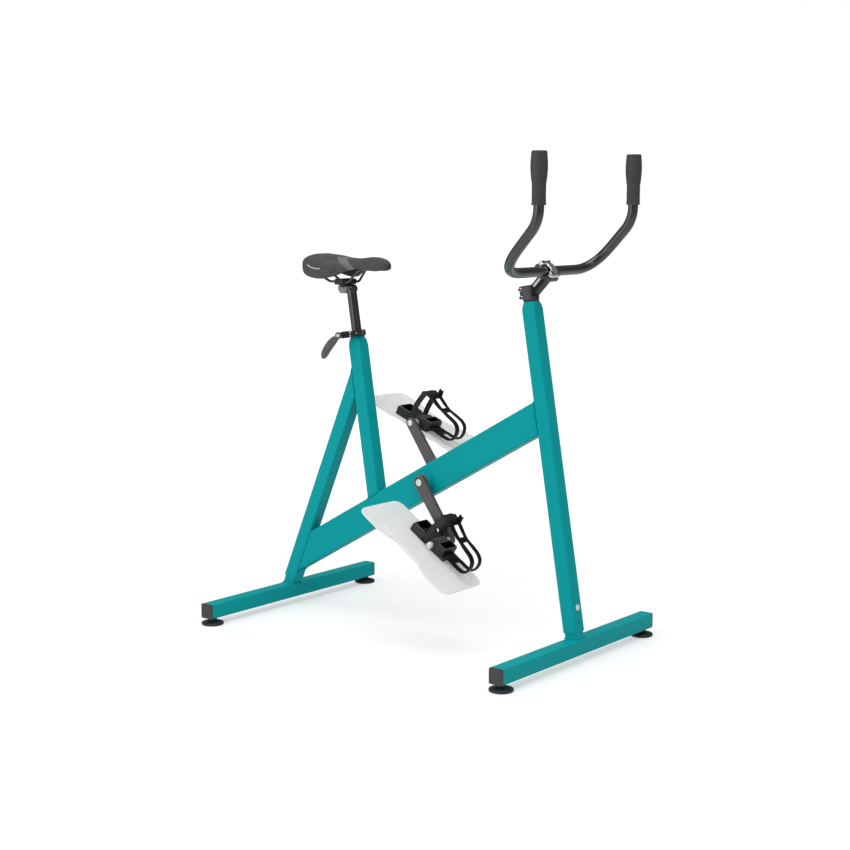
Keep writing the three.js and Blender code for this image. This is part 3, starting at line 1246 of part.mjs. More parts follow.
// One point of a layer: across runs -1..1, depths are measured in from the pad's skin
function saddlePoint(t, across, top, side, tucked) {
  const s = station(t);
  const skin = tucked ? SKIN_SHARE : 1;
  const spread = Math.min(Math.abs(across) / skin, 1) * RIGHT_ANGLE;
  const tuck = tucked ? Math.max(Math.abs(across) - skin, 0) / (1 - skin) : 0;
  const sinkTop = top * Math.min(1, ((s.crown - s.edge) * SINK_SHARE) / PAD_TOP);
  const half = Math.max(s.half - side, s.half * LEAST_WIDTH_SHARE) * (1 - TUCK_SHARE * tuck);
  const y = Math.sign(across) * half * Math.sin(spread) ** SECTION_POWER_SHARE;
  const dome = Math.max(Math.cos(spread), 0) ** SECTION_POWER_SHARE;
  const groove = top > 0 ? 0 : s.channel * Math.exp(-((y / CHANNEL_HALF_WIDTH) ** 2));
  const z = s.edge + (s.crown - sinkTop - s.edge) * dome - groove - PAD_TUCK * tuck;
  return [s.x + s.bow * across ** 2, y, z];
}

// A closed layer between two such surfaces
function saddleLayer(t0, t1, strips, upper, lower) {
  const rows = Math.round(SADDLE_STATIONS * (t1 - t0));
  const columns = 2 * strips;
  const grid = (surface) => {
    const points = [];
    for (let r = 0; r <= rows; r++) {
      for (let c = 0; c <= columns; c++) {
        points.push(surface(t0 + ((t1 - t0) * r) / rows, c / strips - 1));
      }
    }
    return points;
  };
  const points = [...grid(upper), ...grid(lower)];
  const offset = (rows + 1) * (columns + 1);
  const at = (r, c) => r * (columns + 1) + c;
  const index = [];
  const quad = (a, b, c, d) => index.push(a, b, c, a, c, d);
  for (let r = 0; r < rows; r++) {
    for (let c = 0; c < columns; c++) {
      quad(at(r, c), at(r + 1, c), at(r + 1, c + 1), at(r, c + 1));
      quad(offset + at(r, c), offset + at(r, c + 1), offset + at(r + 1, c + 1), offset + at(r + 1, c));
    }
    quad(at(r, 0), offset + at(r, 0), offset + at(r + 1, 0), at(r + 1, 0));
    quad(at(r, columns), at(r + 1, columns), offset + at(r + 1, columns), offset + at(r, columns));
  }
  for (let c = 0; c < columns; c++) {
    quad(at(0, c), at(0, c + 1), offset + at(0, c + 1), offset + at(0, c));
    quad(at(rows, c), offset + at(rows, c), offset + at(rows, c + 1), at(rows, c + 1));
  }
  const geometry = new THREE.BufferGeometry();
  geometry.setAttribute('position', new THREE.Float32BufferAttribute(points.flat(), 3));
  geometry.setIndex(index);
  return geometry;
}

const saddlePad = () => saddleLayer(0, 1, SADDLE_STRIPS,
  (t, v) => saddlePoint(t, v, 0, 0, true),
  (t, v) => saddlePoint(t, v, PAD_TOP, PAD_SIDE, false));

// The rails are one rod, bent round under the nose
function railPath(extra = 0) {
  const between = (RAIL_HALF_SPACING + RAIL_REAR_SPACING) / 2;
  const side = (sign) => [
    [-RAIL_REAR_FLAT - RAIL_REAR_RUN - extra, sign * RAIL_REAR_SPACING, RAIL_REAR_RISE],
    [-RAIL_REAR_FLAT - RAIL_REAR_RUN / 2, sign * between, RAIL_REAR_RISE / 2],
    [-RAIL_REAR_FLAT, sign * RAIL_HALF_SPACING, 0],
    [RAIL_FRONT_FLAT, sign * RAIL_HALF_SPACING, 0],
    [RAIL_FRONT_FLAT + RAIL_FRONT_RUN, sign * (RAIL_HALF_SPACING + RAIL_NOSE_SPACING) / 2, RAIL_FRONT_RISE],
    [RAIL_FRONT_FLAT + RAIL_FRONT_RUN + RAIL_NOSE_RUN, sign * RAIL_NOSE_SPACING, RAIL_FRONT_RISE],
  ];
  const corners = [...side(1), ...side(-1).reverse()].map((p) => new THREE.Vector3(...p));
  return new BentPath(corners, RAIL_BEND);
}

// Shell under the pad, with a socket for each end of the rails and one for their bend
const SHELL_GAP = SEAT_GAP + RUNNING_GAP / 2;
const shellSkin = (depth, lift = 0) => (t, v) => {
  const sunk = SHELL_GAP + depth;
  const [x, y, z] = saddlePoint(t, v, PAD_TOP + sunk, PAD_SIDE + sunk, false);
  return [x, y, z + lift];
};
const shellLayer = (upper, lower) =>
  saddleLayer(2 / SADDLE_STATIONS, 1 - 1 / SADDLE_STATIONS, SADDLE_STRIPS / 2, upper, lower);

function railSockets() {
  const rearX = -RAIL_REAR_FLAT - RAIL_REAR_RUN;
  const noseX = RAIL_FRONT_FLAT + RAIL_FRONT_RUN + RAIL_NOSE_RUN;
  const floor = RAIL_REAR_RISE - SOCKET_RADIUS;
  const rear = [-1, 1].map((side) => {
    const y = side * RAIL_REAR_SPACING;
    return block(rearX - SOCKET_RADIUS / 2, rearX + SOCKET_LENGTH, y - SOCKET_RADIUS, y + SOCKET_RADIUS,
      floor, SADDLE_DEPTH * 2);
  });
  const wide = RAIL_NOSE_SPACING + RAIL_RADIUS;
  const nose = block(noseX - SOCKET_LENGTH / 2, noseX + RAIL_RADIUS + SOCKET_RADIUS / 2, -wide, wide,
    RAIL_FRONT_RISE - RAIL_RADIUS / 2, SADDLE_DEPTH * 2);
  return [...rear, nose];
}

function saddleShell() {
  const above = shellLayer(shellSkin(SHELL_THICKNESS / 2, SADDLE_LENGTH), shellSkin(SHELL_THICKNESS / 2));
  const sockets = cut(join(...railSockets()), above);
  const shell = shellLayer(shellSkin(0), shellSkin(SHELL_THICKNESS));
  return cut(join(shell, sockets), sweep(railPath(SEAT_GAP), RAIL_RADIUS + SEAT_GAP, 0, RAIL_SIDES));
}

function buildSaddle(seatAxis) {
  const head = turned(seatAxis, 0, 0, SEAT_POST_TOP, SEAT_RAKE);
  const tilt = turned(head, -HEAD_SETBACK, 0, HEAD_RISE);
  add(tilt, 'seat_post_head', seatPostHead(), looks.alloy());
  add(tilt, 'rail_cradle', railCradle(), looks.black());
  add(tilt, 'rail_clamp', railClamp(), looks.black());
  add(tilt, 'cradle_bolt', cradleBolt(), looks.steel());
  add(tilt, 'saddle_rails', sweep(railPath(), RAIL_RADIUS, 0, RAIL_SIDES), looks.black());
  add(tilt, 'saddle_shell', saddleShell(), looks.plastic());
  add(tilt, 'saddle_pad', saddlePad(), looks.cover());
}

function buildSeat(parent) {
  const seatAxis = turned(parent, SEAT_X, 0, BRACKET_Z, -SEAT_RAKE);
  const sleeveTop = COLLAR_Z + COLLAR_HEIGHT - SEAT_GAP;
  const sleeve = pipe(SLEEVE_RADIUS, SLEEVE_BORE, SEAT_NECK_Z - SLEEVE_DEPTH, sleeveTop);
  add(seatAxis, 'seat_tube_sleeve', sleeve, looks.frame());
  const post = pipe(SEAT_POST_RADIUS, SEAT_POST_RADIUS - SEAT_POST_WALL, SEAT_POST_TOP - SEAT_POST_LENGTH,
    SEAT_POST_TOP);
  add(seatAxis, 'seat_post', post, looks.black());
  buildSeatClamp(seatAxis);
  buildSaddle(seatAxis);
}

// Stem, about the steerer's axis; its arm points up and forward to the bar
const toArm = (geometry) => geometry.rotateY(-STEM_ARM_ANGLE);
const BAR_LOCAL_X = STEM_ARM_LENGTH * Math.cos(STEM_ARM_ANGLE);
const BAR_LOCAL_Z = STEM_ARM_LENGTH * Math.sin(STEM_ARM_ANGLE);
const barBore = () => alongY(rod(BAR_BORE, -TUBE_SIZE, TUBE_SIZE)).translate(STEM_ARM_LENGTH, 0, 0);

const ARM_TOP = STEM_ARM_HEIGHT / 2 - STEM_ARM_DROP;
const ARM_BOTTOM = -STEM_ARM_HEIGHT / 2 - STEM_ARM_DROP;

// Split lugs behind the clamp, with a hole for each pinch bolt
function stemLugs(half) {
  const plan = roundedShape([
    [0, -STEM_LUG_HALF, 0],
    [0, STEM_LUG_HALF, 0],
    [-STEM_LUG_REACH, STEM_LUG_HALF, STEM_LUG_CORNER],
    [-STEM_LUG_REACH, -STEM_LUG_HALF, STEM_LUG_CORNER],
  ]);
  const lugs = planPlate(plan, -half + OVERRUN / 2, half);
  const holes = [-1, 1].map((side) =>
    alongY(rod(PINCH_BOLT_RADIUS + SEAT_GAP, -TUBE_SIZE, TUBE_SIZE, SMALL_SIDES))
      .translate(PINCH_BOLT_INSET - STEM_LUG_REACH, 0, side * PINCH_BOLT_HALF_SPACING));
  return cut(lugs, ...holes);
}

function stemArm() {
  const split = STEM_ARM_LENGTH - SEAT_GAP;
  const outline = roundedShape([
    [0, ARM_BOTTOM, 0],
    [STEM_ARM_LENGTH - BAR_BORE, ARM_BOTTOM, 0],
    [STEM_ARM_LENGTH - BAR_EAR_THICKNESS, -BAR_EAR_HALF, 0],
    [split, -BAR_EAR_HALF, EDGE],
    [split, BAR_EAR_HALF, EDGE],
    [STEM_ARM_LENGTH - BAR_EAR_THICKNESS, BAR_EAR_HALF, 0],
    [STEM_ARM_LENGTH - BAR_CLAMP_RADIUS, ARM_TOP, 0],
    [0, ARM_TOP, 0],
  ]);
  const arm = sidePlate(outline, -STEM_ARM_HALF_WIDTH, STEM_ARM_HALF_WIDTH);
  const ears = block(STEM_ARM_LENGTH - BAR_EAR_THICKNESS, split,
    -BAR_CLAMP_HALF_WIDTH, BAR_CLAMP_HALF_WIDTH, -BAR_EAR_HALF, BAR_EAR_HALF);
  const round = alongY(rod(BAR_CLAMP_RADIUS, -BAR_CLAMP_HALF_WIDTH, BAR_CLAMP_HALF_WIDTH));
  const ahead = block(split, TRIM, -TRIM, TRIM, -TRIM, TRIM);
  return cut(join(arm, ears, round.translate(STEM_ARM_LENGTH, 0, 0)), ahead, barBore());
}

function stem() {
  const half = STEM_CLAMP_HEIGHT / 2;
  const clamp = rod(STEM_CLAMP_RADIUS, -half, half);
  const arm = toArm(asGeometry(stemArm()));
  const top = block(-TRIM, STEM_BORE, -TRIM, TRIM, half, TRIM);
  const bottom = block(-TRIM, TRIM, -TRIM, TRIM, -TRIM, -half);
  const bore = rod(STEM_BORE, -TUBE_SIZE, TUBE_SIZE);
  const slot = block(-TRIM, 0, -STEM_SLOT_HALF, STEM_SLOT_HALF, -TRIM, TRIM);
  const panels = [-1, 1].map((side) => stemPanel(side));
  return cut(join(clamp, stemLugs(half), arm), top, bottom, bore, slot, ...panels);
}

// Recessed panel on each flank of the arm
function stemPanel(side) {
  const high = ARM_TOP - STEM_PANEL_RIM;
  const low = high - STEM_PANEL_HEIGHT;
  const rear = STEM_CLAMP_RADIUS + STEM_PANEL_RIM;
  const end = STEM_ARM_LENGTH - BAR_CLAMP_RADIUS;
  const corner = STEM_PANEL_HEIGHT / 2;
  const outline = roundedShape([
    [rear, low, corner],
    [end, low, corner],
    [end, high, corner],
    [rear, high, corner],
  ]);
  const floor = side * (STEM_ARM_HALF_WIDTH - STEM_PANEL_DEPTH);
  return toArm(sidePlate(outline, floor, side * (STEM_ARM_HALF_WIDTH + OVERRUN)));
}

// Face plate: four lugs round a window, each sunk for the head of its bolt
function stemFaceplate() {
  const split = STEM_ARM_LENGTH + SEAT_GAP;
  const front = STEM_ARM_LENGTH + BAR_CLAMP_RADIUS;
  const ear = split + BAR_EAR_THICKNESS;
  const inset = FACEPLATE_BOLT_INSET;
  const shape = roundedShape([
    [split, -BAR_EAR_HALF, EDGE],
    [ear, -BAR_EAR_HALF, EDGE],
    [ear, -BAR_EAR_HALF + inset * 2, EDGE],
    [front, -BAR_EAR_HALF / 3, FACEPLATE_CORNER],
    [front, BAR_EAR_HALF / 3, FACEPLATE_CORNER],
    [ear, BAR_EAR_HALF - inset * 2, EDGE],
    [ear, BAR_EAR_HALF, EDGE],
    [split, BAR_EAR_HALF, EDGE],
  ]);
  const plate = sidePlate(shape, -BAR_CLAMP_HALF_WIDTH, BAR_CLAMP_HALF_WIDTH);
  const gap = FACEPLATE_WINDOW_HALF;
  const window = block(split, TRIM, -gap, gap, -BAR_BORE / 2, BAR_BORE / 2);
  const notches = [-1, 1].map((side) => {
    const [low, high] = ordered(side * (BAR_EAR_HALF - inset * 2), side * TRIM);
    return block(-TRIM, TRIM, -gap, gap, low, high);
  });
  const bolts = [-1, 1].flatMap((side) => [-1, 1].map((hand) =>
    alongX(rod(FACEPLATE_BOLT_RADIUS, ear - FACEPLATE_BOLT_SINK, TRIM, SMALL_SIDES))
      .translate(0, hand * (BAR_CLAMP_HALF_WIDTH - inset), side * (BAR_EAR_HALF - inset))));
  return toArm(asGeometry(cut(plate, barBore(), window, ...notches, ...bolts)));
}

function handlebar() {
  const top = BAR_TOP - GRIP_CAP - SEAT_GAP;
  const right = [
    [BAR_REACH, -BAR_GRIP_HALF, top],
    [BAR_REACH, -BAR_GRIP_HALF, BAR_RISE],
    [0, -BAR_CENTRE_HALF, 0],
  ];
  const left = right.map(([x, y, z]) => [x, -y, z]).reverse();
  const corners = [...right, ...left].map((p) => new THREE.Vector3(...p));
  return sweep(new BentPath(corners, BAR_BEND, BAR_STEPS), BAR_RADIUS, BAR_RADIUS - BAR_WALL, BAR_SIDES);
}

// Grip: widest above its middle, with grooves round its narrow lower part and a closed end.
// Shares of its length and of its largest radius
const gripShares = [[0, 0.87], [0.05, 0.82], [0.38, 0.82], [0.52, 0.93], [0.67, 1], [0.82, 0.98],
  [0.95, 0.91]];

function gripRadius(share) {
  const next = Math.max(gripShares.findIndex(([along]) => along >= share), 1);
  const [[a, radiusA], [b, radiusB]] = [gripShares[next - 1], gripShares[next]];
  return GRIP_RADIUS * (radiusA + ((radiusB - radiusA) * (share - a)) / (b - a));
}

function grip() {
  const z0 = BAR_TOP - GRIP_LENGTH;
  const bore = BAR_RADIUS + SEAT_GAP;
  const skin = [[gripRadius(0), z0]];
  for (let k = 0; k < GRIP_GROOVES; k++) {
    const share = (GRIP_GROOVES_SHARE * (k + 1 / 2)) / GRIP_GROOVES;
    const z = z0 + GRIP_LENGTH * share;
    const radius = gripRadius(share);
    skin.push([radius, z - GRIP_GROOVE * 2], [radius - GRIP_GROOVE, z], [radius, z + GRIP_GROOVE * 2]);
  }
  for (const [along, radius] of gripShares) {
    if (along > GRIP_GROOVES_SHARE) skin.push([GRIP_RADIUS * radius, z0 + GRIP_LENGTH * along]);
  }
  const cap = gripRadius(gripShares[gripShares.length - 1][0]);
  const rim = [[cap - GRIP_CAP, BAR_TOP], [0, BAR_TOP]];
  const inside = [[0, BAR_TOP - GRIP_CAP], [bore, BAR_TOP - GRIP_CAP], [bore, z0]];
  return turnedProfile([[bore, z0], ...skin, ...rim, ...inside], SMALL_SIDES);
}

function buildStem(post) {
  const steerer = pipe(STEERER_RADIUS, STEERER_RADIUS - STEERER_WALL, STEM_Z - STEERER_DEPTH,
    STEM_Z + STEM_CLAMP_HEIGHT / 2 - SEAT_GAP);
  add(post, 'steerer_tube', steerer, looks.black());
  const stemAxis = turned(post, 0, 0, STEM_Z);
  add(stemAxis, 'stem', stem(), looks.black());
  add(stemAxis, 'stem_faceplate', stemFaceplate(), looks.alloy());
  const bar = turned(stemAxis, BAR_LOCAL_X, 0, BAR_LOCAL_Z, POST_RAKE);
  add(bar, 'handlebar', handlebar(), looks.black());
  for (const [hand, side] of [['right', -1], ['left', 1]]) {
    const place = turned(bar, BAR_REACH, side * BAR_GRIP_HALF, 0);
    add(place, `grip_${hand}`, grip(), looks.rubber());
  }
  return bar;
}

const post = buildFrame(bike);
buildBracket(bike);
buildCranks(bike);
buildSeat(bike);
const bar = buildStem(post);

// The origin goes on the floor, midway between the rear pads and the foremost point
bike.updateMatrixWorld(true);
const barAxis = new THREE.Vector3().setFromMatrixPosition(bar.matrixWorld);
const front = Math.max(FOOT_SPACING + PAD_RADIUS, barAxis.x + BAR_REACH + GRIP_RADIUS);
bike.position.x = (PAD_RADIUS - front) / 2;

export default bike;
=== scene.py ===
# %% [markdown]
# # Dressing an aqua bike in Blender
# The bike stands on the floor of a pool, and a rider pedals it under water. Its frame is welded from square
# steel tube, painted, and its water brakes are plastic fins under the pedals. The CAD solids come in as a
# fixed frame, already in metres, with +X forwards and +Z up. This lesson gives each of them its finish, and
# makes the rounded and padded pieces anew as surfaces worked out with numpy.

# %% Load the frame
import bmesh
import bpy
import numpy as np
from mathutils import Matrix


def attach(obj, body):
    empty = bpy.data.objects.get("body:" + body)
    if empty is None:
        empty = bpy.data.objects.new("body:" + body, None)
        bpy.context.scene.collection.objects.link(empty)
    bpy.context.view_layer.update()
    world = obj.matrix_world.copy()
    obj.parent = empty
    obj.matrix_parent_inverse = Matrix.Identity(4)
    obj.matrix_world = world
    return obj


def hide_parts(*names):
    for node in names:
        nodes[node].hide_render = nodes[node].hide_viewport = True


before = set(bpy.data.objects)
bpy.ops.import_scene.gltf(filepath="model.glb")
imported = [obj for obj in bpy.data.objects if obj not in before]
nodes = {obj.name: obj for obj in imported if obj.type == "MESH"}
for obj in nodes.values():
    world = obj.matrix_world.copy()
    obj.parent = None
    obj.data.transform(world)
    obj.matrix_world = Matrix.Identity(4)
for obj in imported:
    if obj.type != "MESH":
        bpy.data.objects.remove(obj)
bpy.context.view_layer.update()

# %% [markdown]
# ## The camera
# The picture was taken from the bike's front right, at the height of the grips, looking a little down. A
# focal length of 1628.6 pixels in an image 850 pixels wide is the same as a 69 mm lens on a 36 mm sensor.
# Three angles turn the camera: first round Z, then down, and last a small roll about its line of sight.

# %% Camera
scene = bpy.context.scene


def shown(name, data):
    """A new object of the scene, at the origin."""
    made = bpy.data.objects.new(name, data)
    scene.collection.objects.link(made)
    return made


YAW, PITCH, ROLL = np.radians([38.5585, 7.928, 0.1113])
FOCAL_PIXELS, IMAGE_WIDTH, SENSOR = 1628.58, 850, 36
camera_data = bpy.data.cameras.new("camera")
camera_data.sensor_width = SENSOR
camera_data.lens = SENSOR * FOCAL_PIXELS / IMAGE_WIDTH
camera = shown("camera", camera_data)
turn = (Matrix.Rotation(YAW, 4, "Z") @ Matrix.Rotation(np.pi / 2 - PITCH, 4, "X")
        @ Matrix.Rotation(ROLL, 4, "Z"))
camera.matrix_world = Matrix.Translation((2.6633, -3.3444, 1.1529)) @ turn
scene.camera = camera
print("lens", round(camera_data.lens, 2), "mm, camera at", tuple(round(v, 2) for v in camera.location))

# %% [markdown]
# ## Light, floor and background
# A catalogue picture is lit by large soft lamps, so shadows are pale and every painted face shows its own
# colour. The world is a plain white for the camera, dimmer as a lamp, and dimmer again in reflections, as
# between a studio's dark walls, so that black paint stays black and shows the lamps as bright lines. The
# floor is a real surface that takes the bike's shadow and a faint reflection. A glow for the camera only
# brings it up to the white of the background, more so further out, where the lamps reach less.

# %% Helpers: shader nodes
def new_node(tree, kind, options=None, **values):
    """Adds a shader node, sets its options, then the values of its input sockets."""
    node = tree.nodes.new("ShaderNode" + kind)
    for label, option in (options or {}).items():
        setattr(node, label, option)
    for label, value in values.items():
        node.inputs[label.replace("_", " ")].default_value = value
    return node


def joined(tree, *links):
    """Makes each link (node, its output, node, its input) of a node tree."""
    for source, output, target, entry in links:
        tree.links.new(source.outputs[output], target.inputs[entry])


# %% World and lamps
scene.view_settings.view_transform = "Standard"
world = bpy.data.worlds.new("studio")
scene.world = world
world.use_nodes = True
tree = world.node_tree
WHITE = (1, 1, 1, 1)
sky = tree.nodes["Background"]
sky.inputs["Color"].default_value = WHITE
seen = new_node(tree, "Background", Color=WHITE, Strength=1)
rays, white_seen = new_node(tree, "LightPath"), new_node(tree, "MixShader")
either = new_node(tree, "Math", dict(operation="MAXIMUM"))
dim = new_node(tree, "MapRange", To_Min=0.6, To_Max=0.16)
joined(tree, (rays, "Is Glossy Ray", dim, "Value"), (dim, "Result", sky, "Strength"),
       (rays, "Is Camera Ray", either, 0), (rays, "Is Transmission Ray", either, 1),
       (either, 0, white_seen, "Fac"), (sky, 0, white_seen, 1), (seen, 0, white_seen, 2),
       (white_seen, 0, tree.nodes["World Output"], "Surface"))

MIDDLE = (0, 0, 0.6)  # of the bike


def soft_lamp(name, place, width, height, watts):
    """An area lamp: its -Z axis points from its place to the bike's middle."""
    data = bpy.data.lights.new(name, "AREA")
    data.shape, data.size, data.size_y, data.energy = "RECTANGLE", width, height, watts
    lamp = shown(name, data)
    line = np.subtract(MIDDLE, place)
    around, down = np.arctan2(line[1], line[0]), np.arctan2(line[2], np.hypot(line[0], line[1]))
    lamp.matrix_world = (Matrix.Translation(place) @ Matrix.Rotation(around - np.pi / 2, 4, "Z")
                         @ Matrix.Rotation(np.pi / 2 + down, 4, "X"))


soft_lamp("overhead", (0.3, -0.4, 3.4), 3.0, 2.4, 46)
soft_lamp("right_side", (-0.6, -3.6, 1.8), 2.6, 2.2, 38)
soft_lamp("front", (3.6, -0.4, 2.2), 1.6, 2.4, 10)
soft_lamp("left_of_camera", (-2.6, -2.2, 1.3), 1.2, 2.4, 9)

# %% [markdown]
# ## Meshes from arrays
# Most new pieces are a grid of points: a profile carried along a path, a profile turned round an axis, or a
# flat outline with rolled edges. One helper turns such a grid into a closed mesh whose faces point
# outwards, puts it in the bike's own place and lets it ride on a body of the frame. The helpers work in
# millimetres, as a drawing does, and change to metres at the end.

# %% Helpers: placing points and skinning grids
# A point (x, z) on each tube's middle line and how far it leans forwards from upright, in degrees
BRACE = dict(x=-499.178, z=39.3, lean=22.93)
POST = dict(x=482.722, z=39.3, lean=-9.67)
SEAT = dict(x=-178.678, z=410.5, lean=-9.2)
BEAM = dict(x=15.922, z=410.5, lean=60.55)
HANDS = {"right": -1, "left": 1}


def placed(points, x=0.0, z=0.0, lean=0.0):
    """Turns points by lean degrees about Y, moves them and makes them metres.
    X = x + u cos a + w sin a, Y = v, Z = z - u sin a + w cos a."""
    cos, sin = np.cos(np.radians(lean)), np.sin(np.radians(lean))
    u, v, w = np.moveaxis(points, -1, 0)
    return np.stack([x + u * cos + w * sin, v, z - u * sin + w * cos], -1) / 1000


def grid_faces(rows, columns, closed_rows):
    """The quads of a grid, with corners (r, c), (r+1, c), (r+1, c+1), (r, c+1). The last column joins the
    first, and where the rows are closed, the last row does too."""
    r, c = np.meshgrid(np.arange(rows - (not closed_rows)), np.arange(columns), indexing="ij")
    next_r, next_c = (r + 1) % rows, (c + 1) % columns
    corners = [r * columns + c, next_r * columns + c, next_r * columns + next_c, r * columns + next_c]
    return np.stack(corners, -1).reshape(-1, 4)


def piece(name, grids, body, material, crease=40, closed_rows=False):
    """One object from one or more (rows, columns, 3) grids in metres. Unless the rows are closed, the first
    and the last are capped. Doubles are merged and normals turned outwards."""
    points, faces, offset = [], [], 0
    for grid in grids if isinstance(grids, list) else [grids]:
        rows, columns = grid.shape[:2]
        points.append(grid.reshape(-1, 3))
        faces += (grid_faces(rows, columns, closed_rows) + offset).tolist()
        if not closed_rows:
            faces += [list(range(offset, offset + columns)),
                      list(range(offset + (rows - 1) * columns, offset + rows * columns))]
        offset += rows * columns
    mesh = bpy.data.meshes.new(name)
    mesh.from_pydata(np.concatenate(points).tolist(), [], faces)
    work = bmesh.new()
    work.from_mesh(mesh)
    bmesh.ops.remove_doubles(work, verts=work.verts, dist=2e-6)
    bmesh.ops.recalc_face_normals(work, faces=work.faces)
    work.to_mesh(mesh)
    work.free()
    mesh.shade_smooth()
    mesh.set_sharp_from_angle(angle=np.radians(crease))
    mesh.materials.append(material)
    made = shown(name, mesh)
    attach(made, body)
    print(name, len(mesh.polygons), "faces on", body)
    return made


# %% Helpers: bent paths, tubes and turned profiles
def corner_curves(starts, corners, ends, steps):
    """For each corner B the curve (1-s)²·A + 2s(1-s)·B + s²·C, from A towards B and on to C."""
    s = np.linspace(0, 1, steps)[:, None, None]
    curves = (1 - s) ** 2 * starts + 2 * s * (1 - s) * corners + s ** 2 * ends
    return curves.transpose(1, 0, 2).reshape(-1, corners.shape[1])


def bent(corners, bend, steps):
    """A path of straight runs whose corners give way to curves. A curve starts and ends where an arc of
    radius bend would touch the two runs. Points that all but meet are left out."""
    here, back, on = corners[1:-1], corners[:-2] - corners[1:-1], corners[2:] - corners[1:-1]
    lengths = [np.linalg.norm(d, axis=1, keepdims=True) for d in (back, on)]
    back, on = back / lengths[0], on / lengths[1]
    half = (np.pi - np.arccos((back * on).sum(1, keepdims=True))) / 2
    reach = np.minimum(bend * np.tan(half), np.minimum(*lengths) / 2)
    arcs = corner_curves(here + back * reach, here, here + on * reach, steps)
    path = np.concatenate([corners[:1], arcs, corners[-1:]])
    return path[np.r_[True, np.linalg.norm(np.diff(path, axis=0), axis=1) > 0.05]]


def angles(count, first=0.0):
    """Even angles round a circle, in radians: (k + first) 2 pi / count."""
    return (np.arange(count) + first) * 2 * np.pi / count


def rings(path, radius, reference, sides, loop=False):
    """Circles across a path: centre + r (N cos a + B sin a), where T is the path's direction, N the part of
    the reference direction across T, and B = T × N."""
    ahead = np.roll(path, -1, 0) if loop else np.concatenate([path[1:], path[-1:]])
    behind = np.roll(path, 1, 0) if loop else np.concatenate([path[:1], path[:-1]])
    t = ahead - behind
    t /= np.linalg.norm(t, axis=1, keepdims=True)
    n = reference - (t @ reference)[:, None] * t
    n /= np.linalg.norm(n, axis=1, keepdims=True)
    cos, sin = np.cos(angles(sides))[:, None], np.sin(angles(sides))[:, None]
    r = np.broadcast_to(radius, len(path))[:, None, None]
    return path[:, None] + r * (n[:, None] * cos + np.cross(t, n)[:, None] * sin)


def turned(profile, sides, across=False):
    """(radius, height) pairs turned round Z, or round Y if across: (r cos a, r sin a, h)."""
    r, h = np.asarray(profile, float).T[:, :, None]
    a = angles(sides)[None]
    x, y, z = r * np.cos(a), r * np.sin(a), h + 0 * a
    return np.stack([x, z, y] if across else [x, y, z], -1)


def wall(inner, outer, low, high):
    """The profile of a tube, or of a disc if inner is 0."""
    return [(inner, low), (outer, low), (outer, high), (inner, high)]


def softened(profile, cut, steps=3):
    """Rolls the corners of an open profile: each one gives way to a short curve between its two sides."""
    flat = np.c_[np.asarray(profile, float), np.zeros(len(profile))]
    return bent(flat, cut, steps)[:, :2]


# %% Helpers: flat plates with rolled edges
def rounded_outline(corners, steps=8):
    """A closed outline from (x, y, reach) corners. A corner's curve starts and ends at reach from it."""
    corners = np.asarray(corners, float)
    here, reach = corners[:, :2], corners[:, 2:]
    before, after = np.roll(here, 1, 0) - here, np.roll(here, -1, 0) - here
    b, a = (np.linalg.norm(d, axis=1, keepdims=True) for d in (before, after))
    reach = np.minimum(reach, np.minimum(b, a) / 2)
    line = corner_curves(here + before / b * reach, here, here + after / a * reach, steps)
    return line[np.linalg.norm(line - np.roll(line, 1, 0), axis=1) > 0.01]


def rounded_box(left, right, low, high, reach, steps=8):
    """The outline of a rectangle with rounded corners."""
    return rounded_outline([(left, low, reach), (right, low, reach), (right, high, reach),
                            (left, high, reach)], steps)


def inset(outline, depth):
    """The outline moved inwards by depth: each point moves along the mean of its two sides' normals, further
    at a sharp corner, by depth / cos(half the turn)."""
    side = np.roll(outline, -1, 0) - outline
    side /= np.linalg.norm(side, axis=1, keepdims=True)
    x, y = outline.T
    turn_way = np.sign((x * np.roll(y, -1) - np.roll(x, -1) * y).sum())
    normal = np.stack([-side[:, 1], side[:, 0]], 1) * turn_way
    mean = normal + np.roll(normal, 1, 0)
    return outline + depth * mean / np.maximum((mean ** 2).sum(1, keepdims=True) / 2, 0.6)


def plate(outline, low, high, roll, steps=4, flat="z"):
    """A plate between two heights. Up its rim, the outline is inset by roll (1 - sin q) while the height is
    low + roll (1 - cos q), then the same in reverse; one more inset ring keeps the flat face flat."""
    q = np.linspace(0, np.pi / 2, steps)
    depth = np.r_[roll * 2, roll * (1 - np.sin(q)), roll * (1 - np.cos(q)), roll * 2]
    height = np.r_[low, low + roll * (1 - np.cos(q)), high - roll * (1 - np.sin(q)), high]
    rows = [np.c_[inset(outline, d), np.full(len(outline), h)] for d, h in zip(depth, height)]
    grid = np.array(rows)
    return grid if flat == "z" else grid[..., [0, 2, 1]]


# %% [markdown]
# ## Shared shader effects
# Three effects come back in many finishes, so each is a node group with named inputs: patches that make a
# colour and its roughness a little uneven, a fine bump for paint, moulded plastic and rubber, and a painted
# highlight: a lighter line along sharp edges, for the light that they catch. They put out colours, values
# and normals only; every shader stays in its own material.

# %% Helpers: colours and node groups
def srgb(red, green, blue):
    """A colour as it is read off a picture, 0-255 a channel, in the linear numbers that shaders use."""
    c = np.array([red, green, blue]) / 255
    return (*np.where(c <= 0.04045, c / 12.92, ((c + 0.055) / 1.055) ** 2.4), 1.0)


def new_group(name, inputs, outputs):
    """An empty shader node group with named sockets, and its input and output nodes."""
    tree = bpy.data.node_groups.new(name, "ShaderNodeTree")
    for way, sockets in (("INPUT", inputs), ("OUTPUT", outputs)):
        for label, kind in sockets.items():
            tree.interface.new_socket(label, in_out=way, socket_type="NodeSocket" + kind)
    return tree, tree.nodes.new("NodeGroupInput"), tree.nodes.new("NodeGroupOutput")


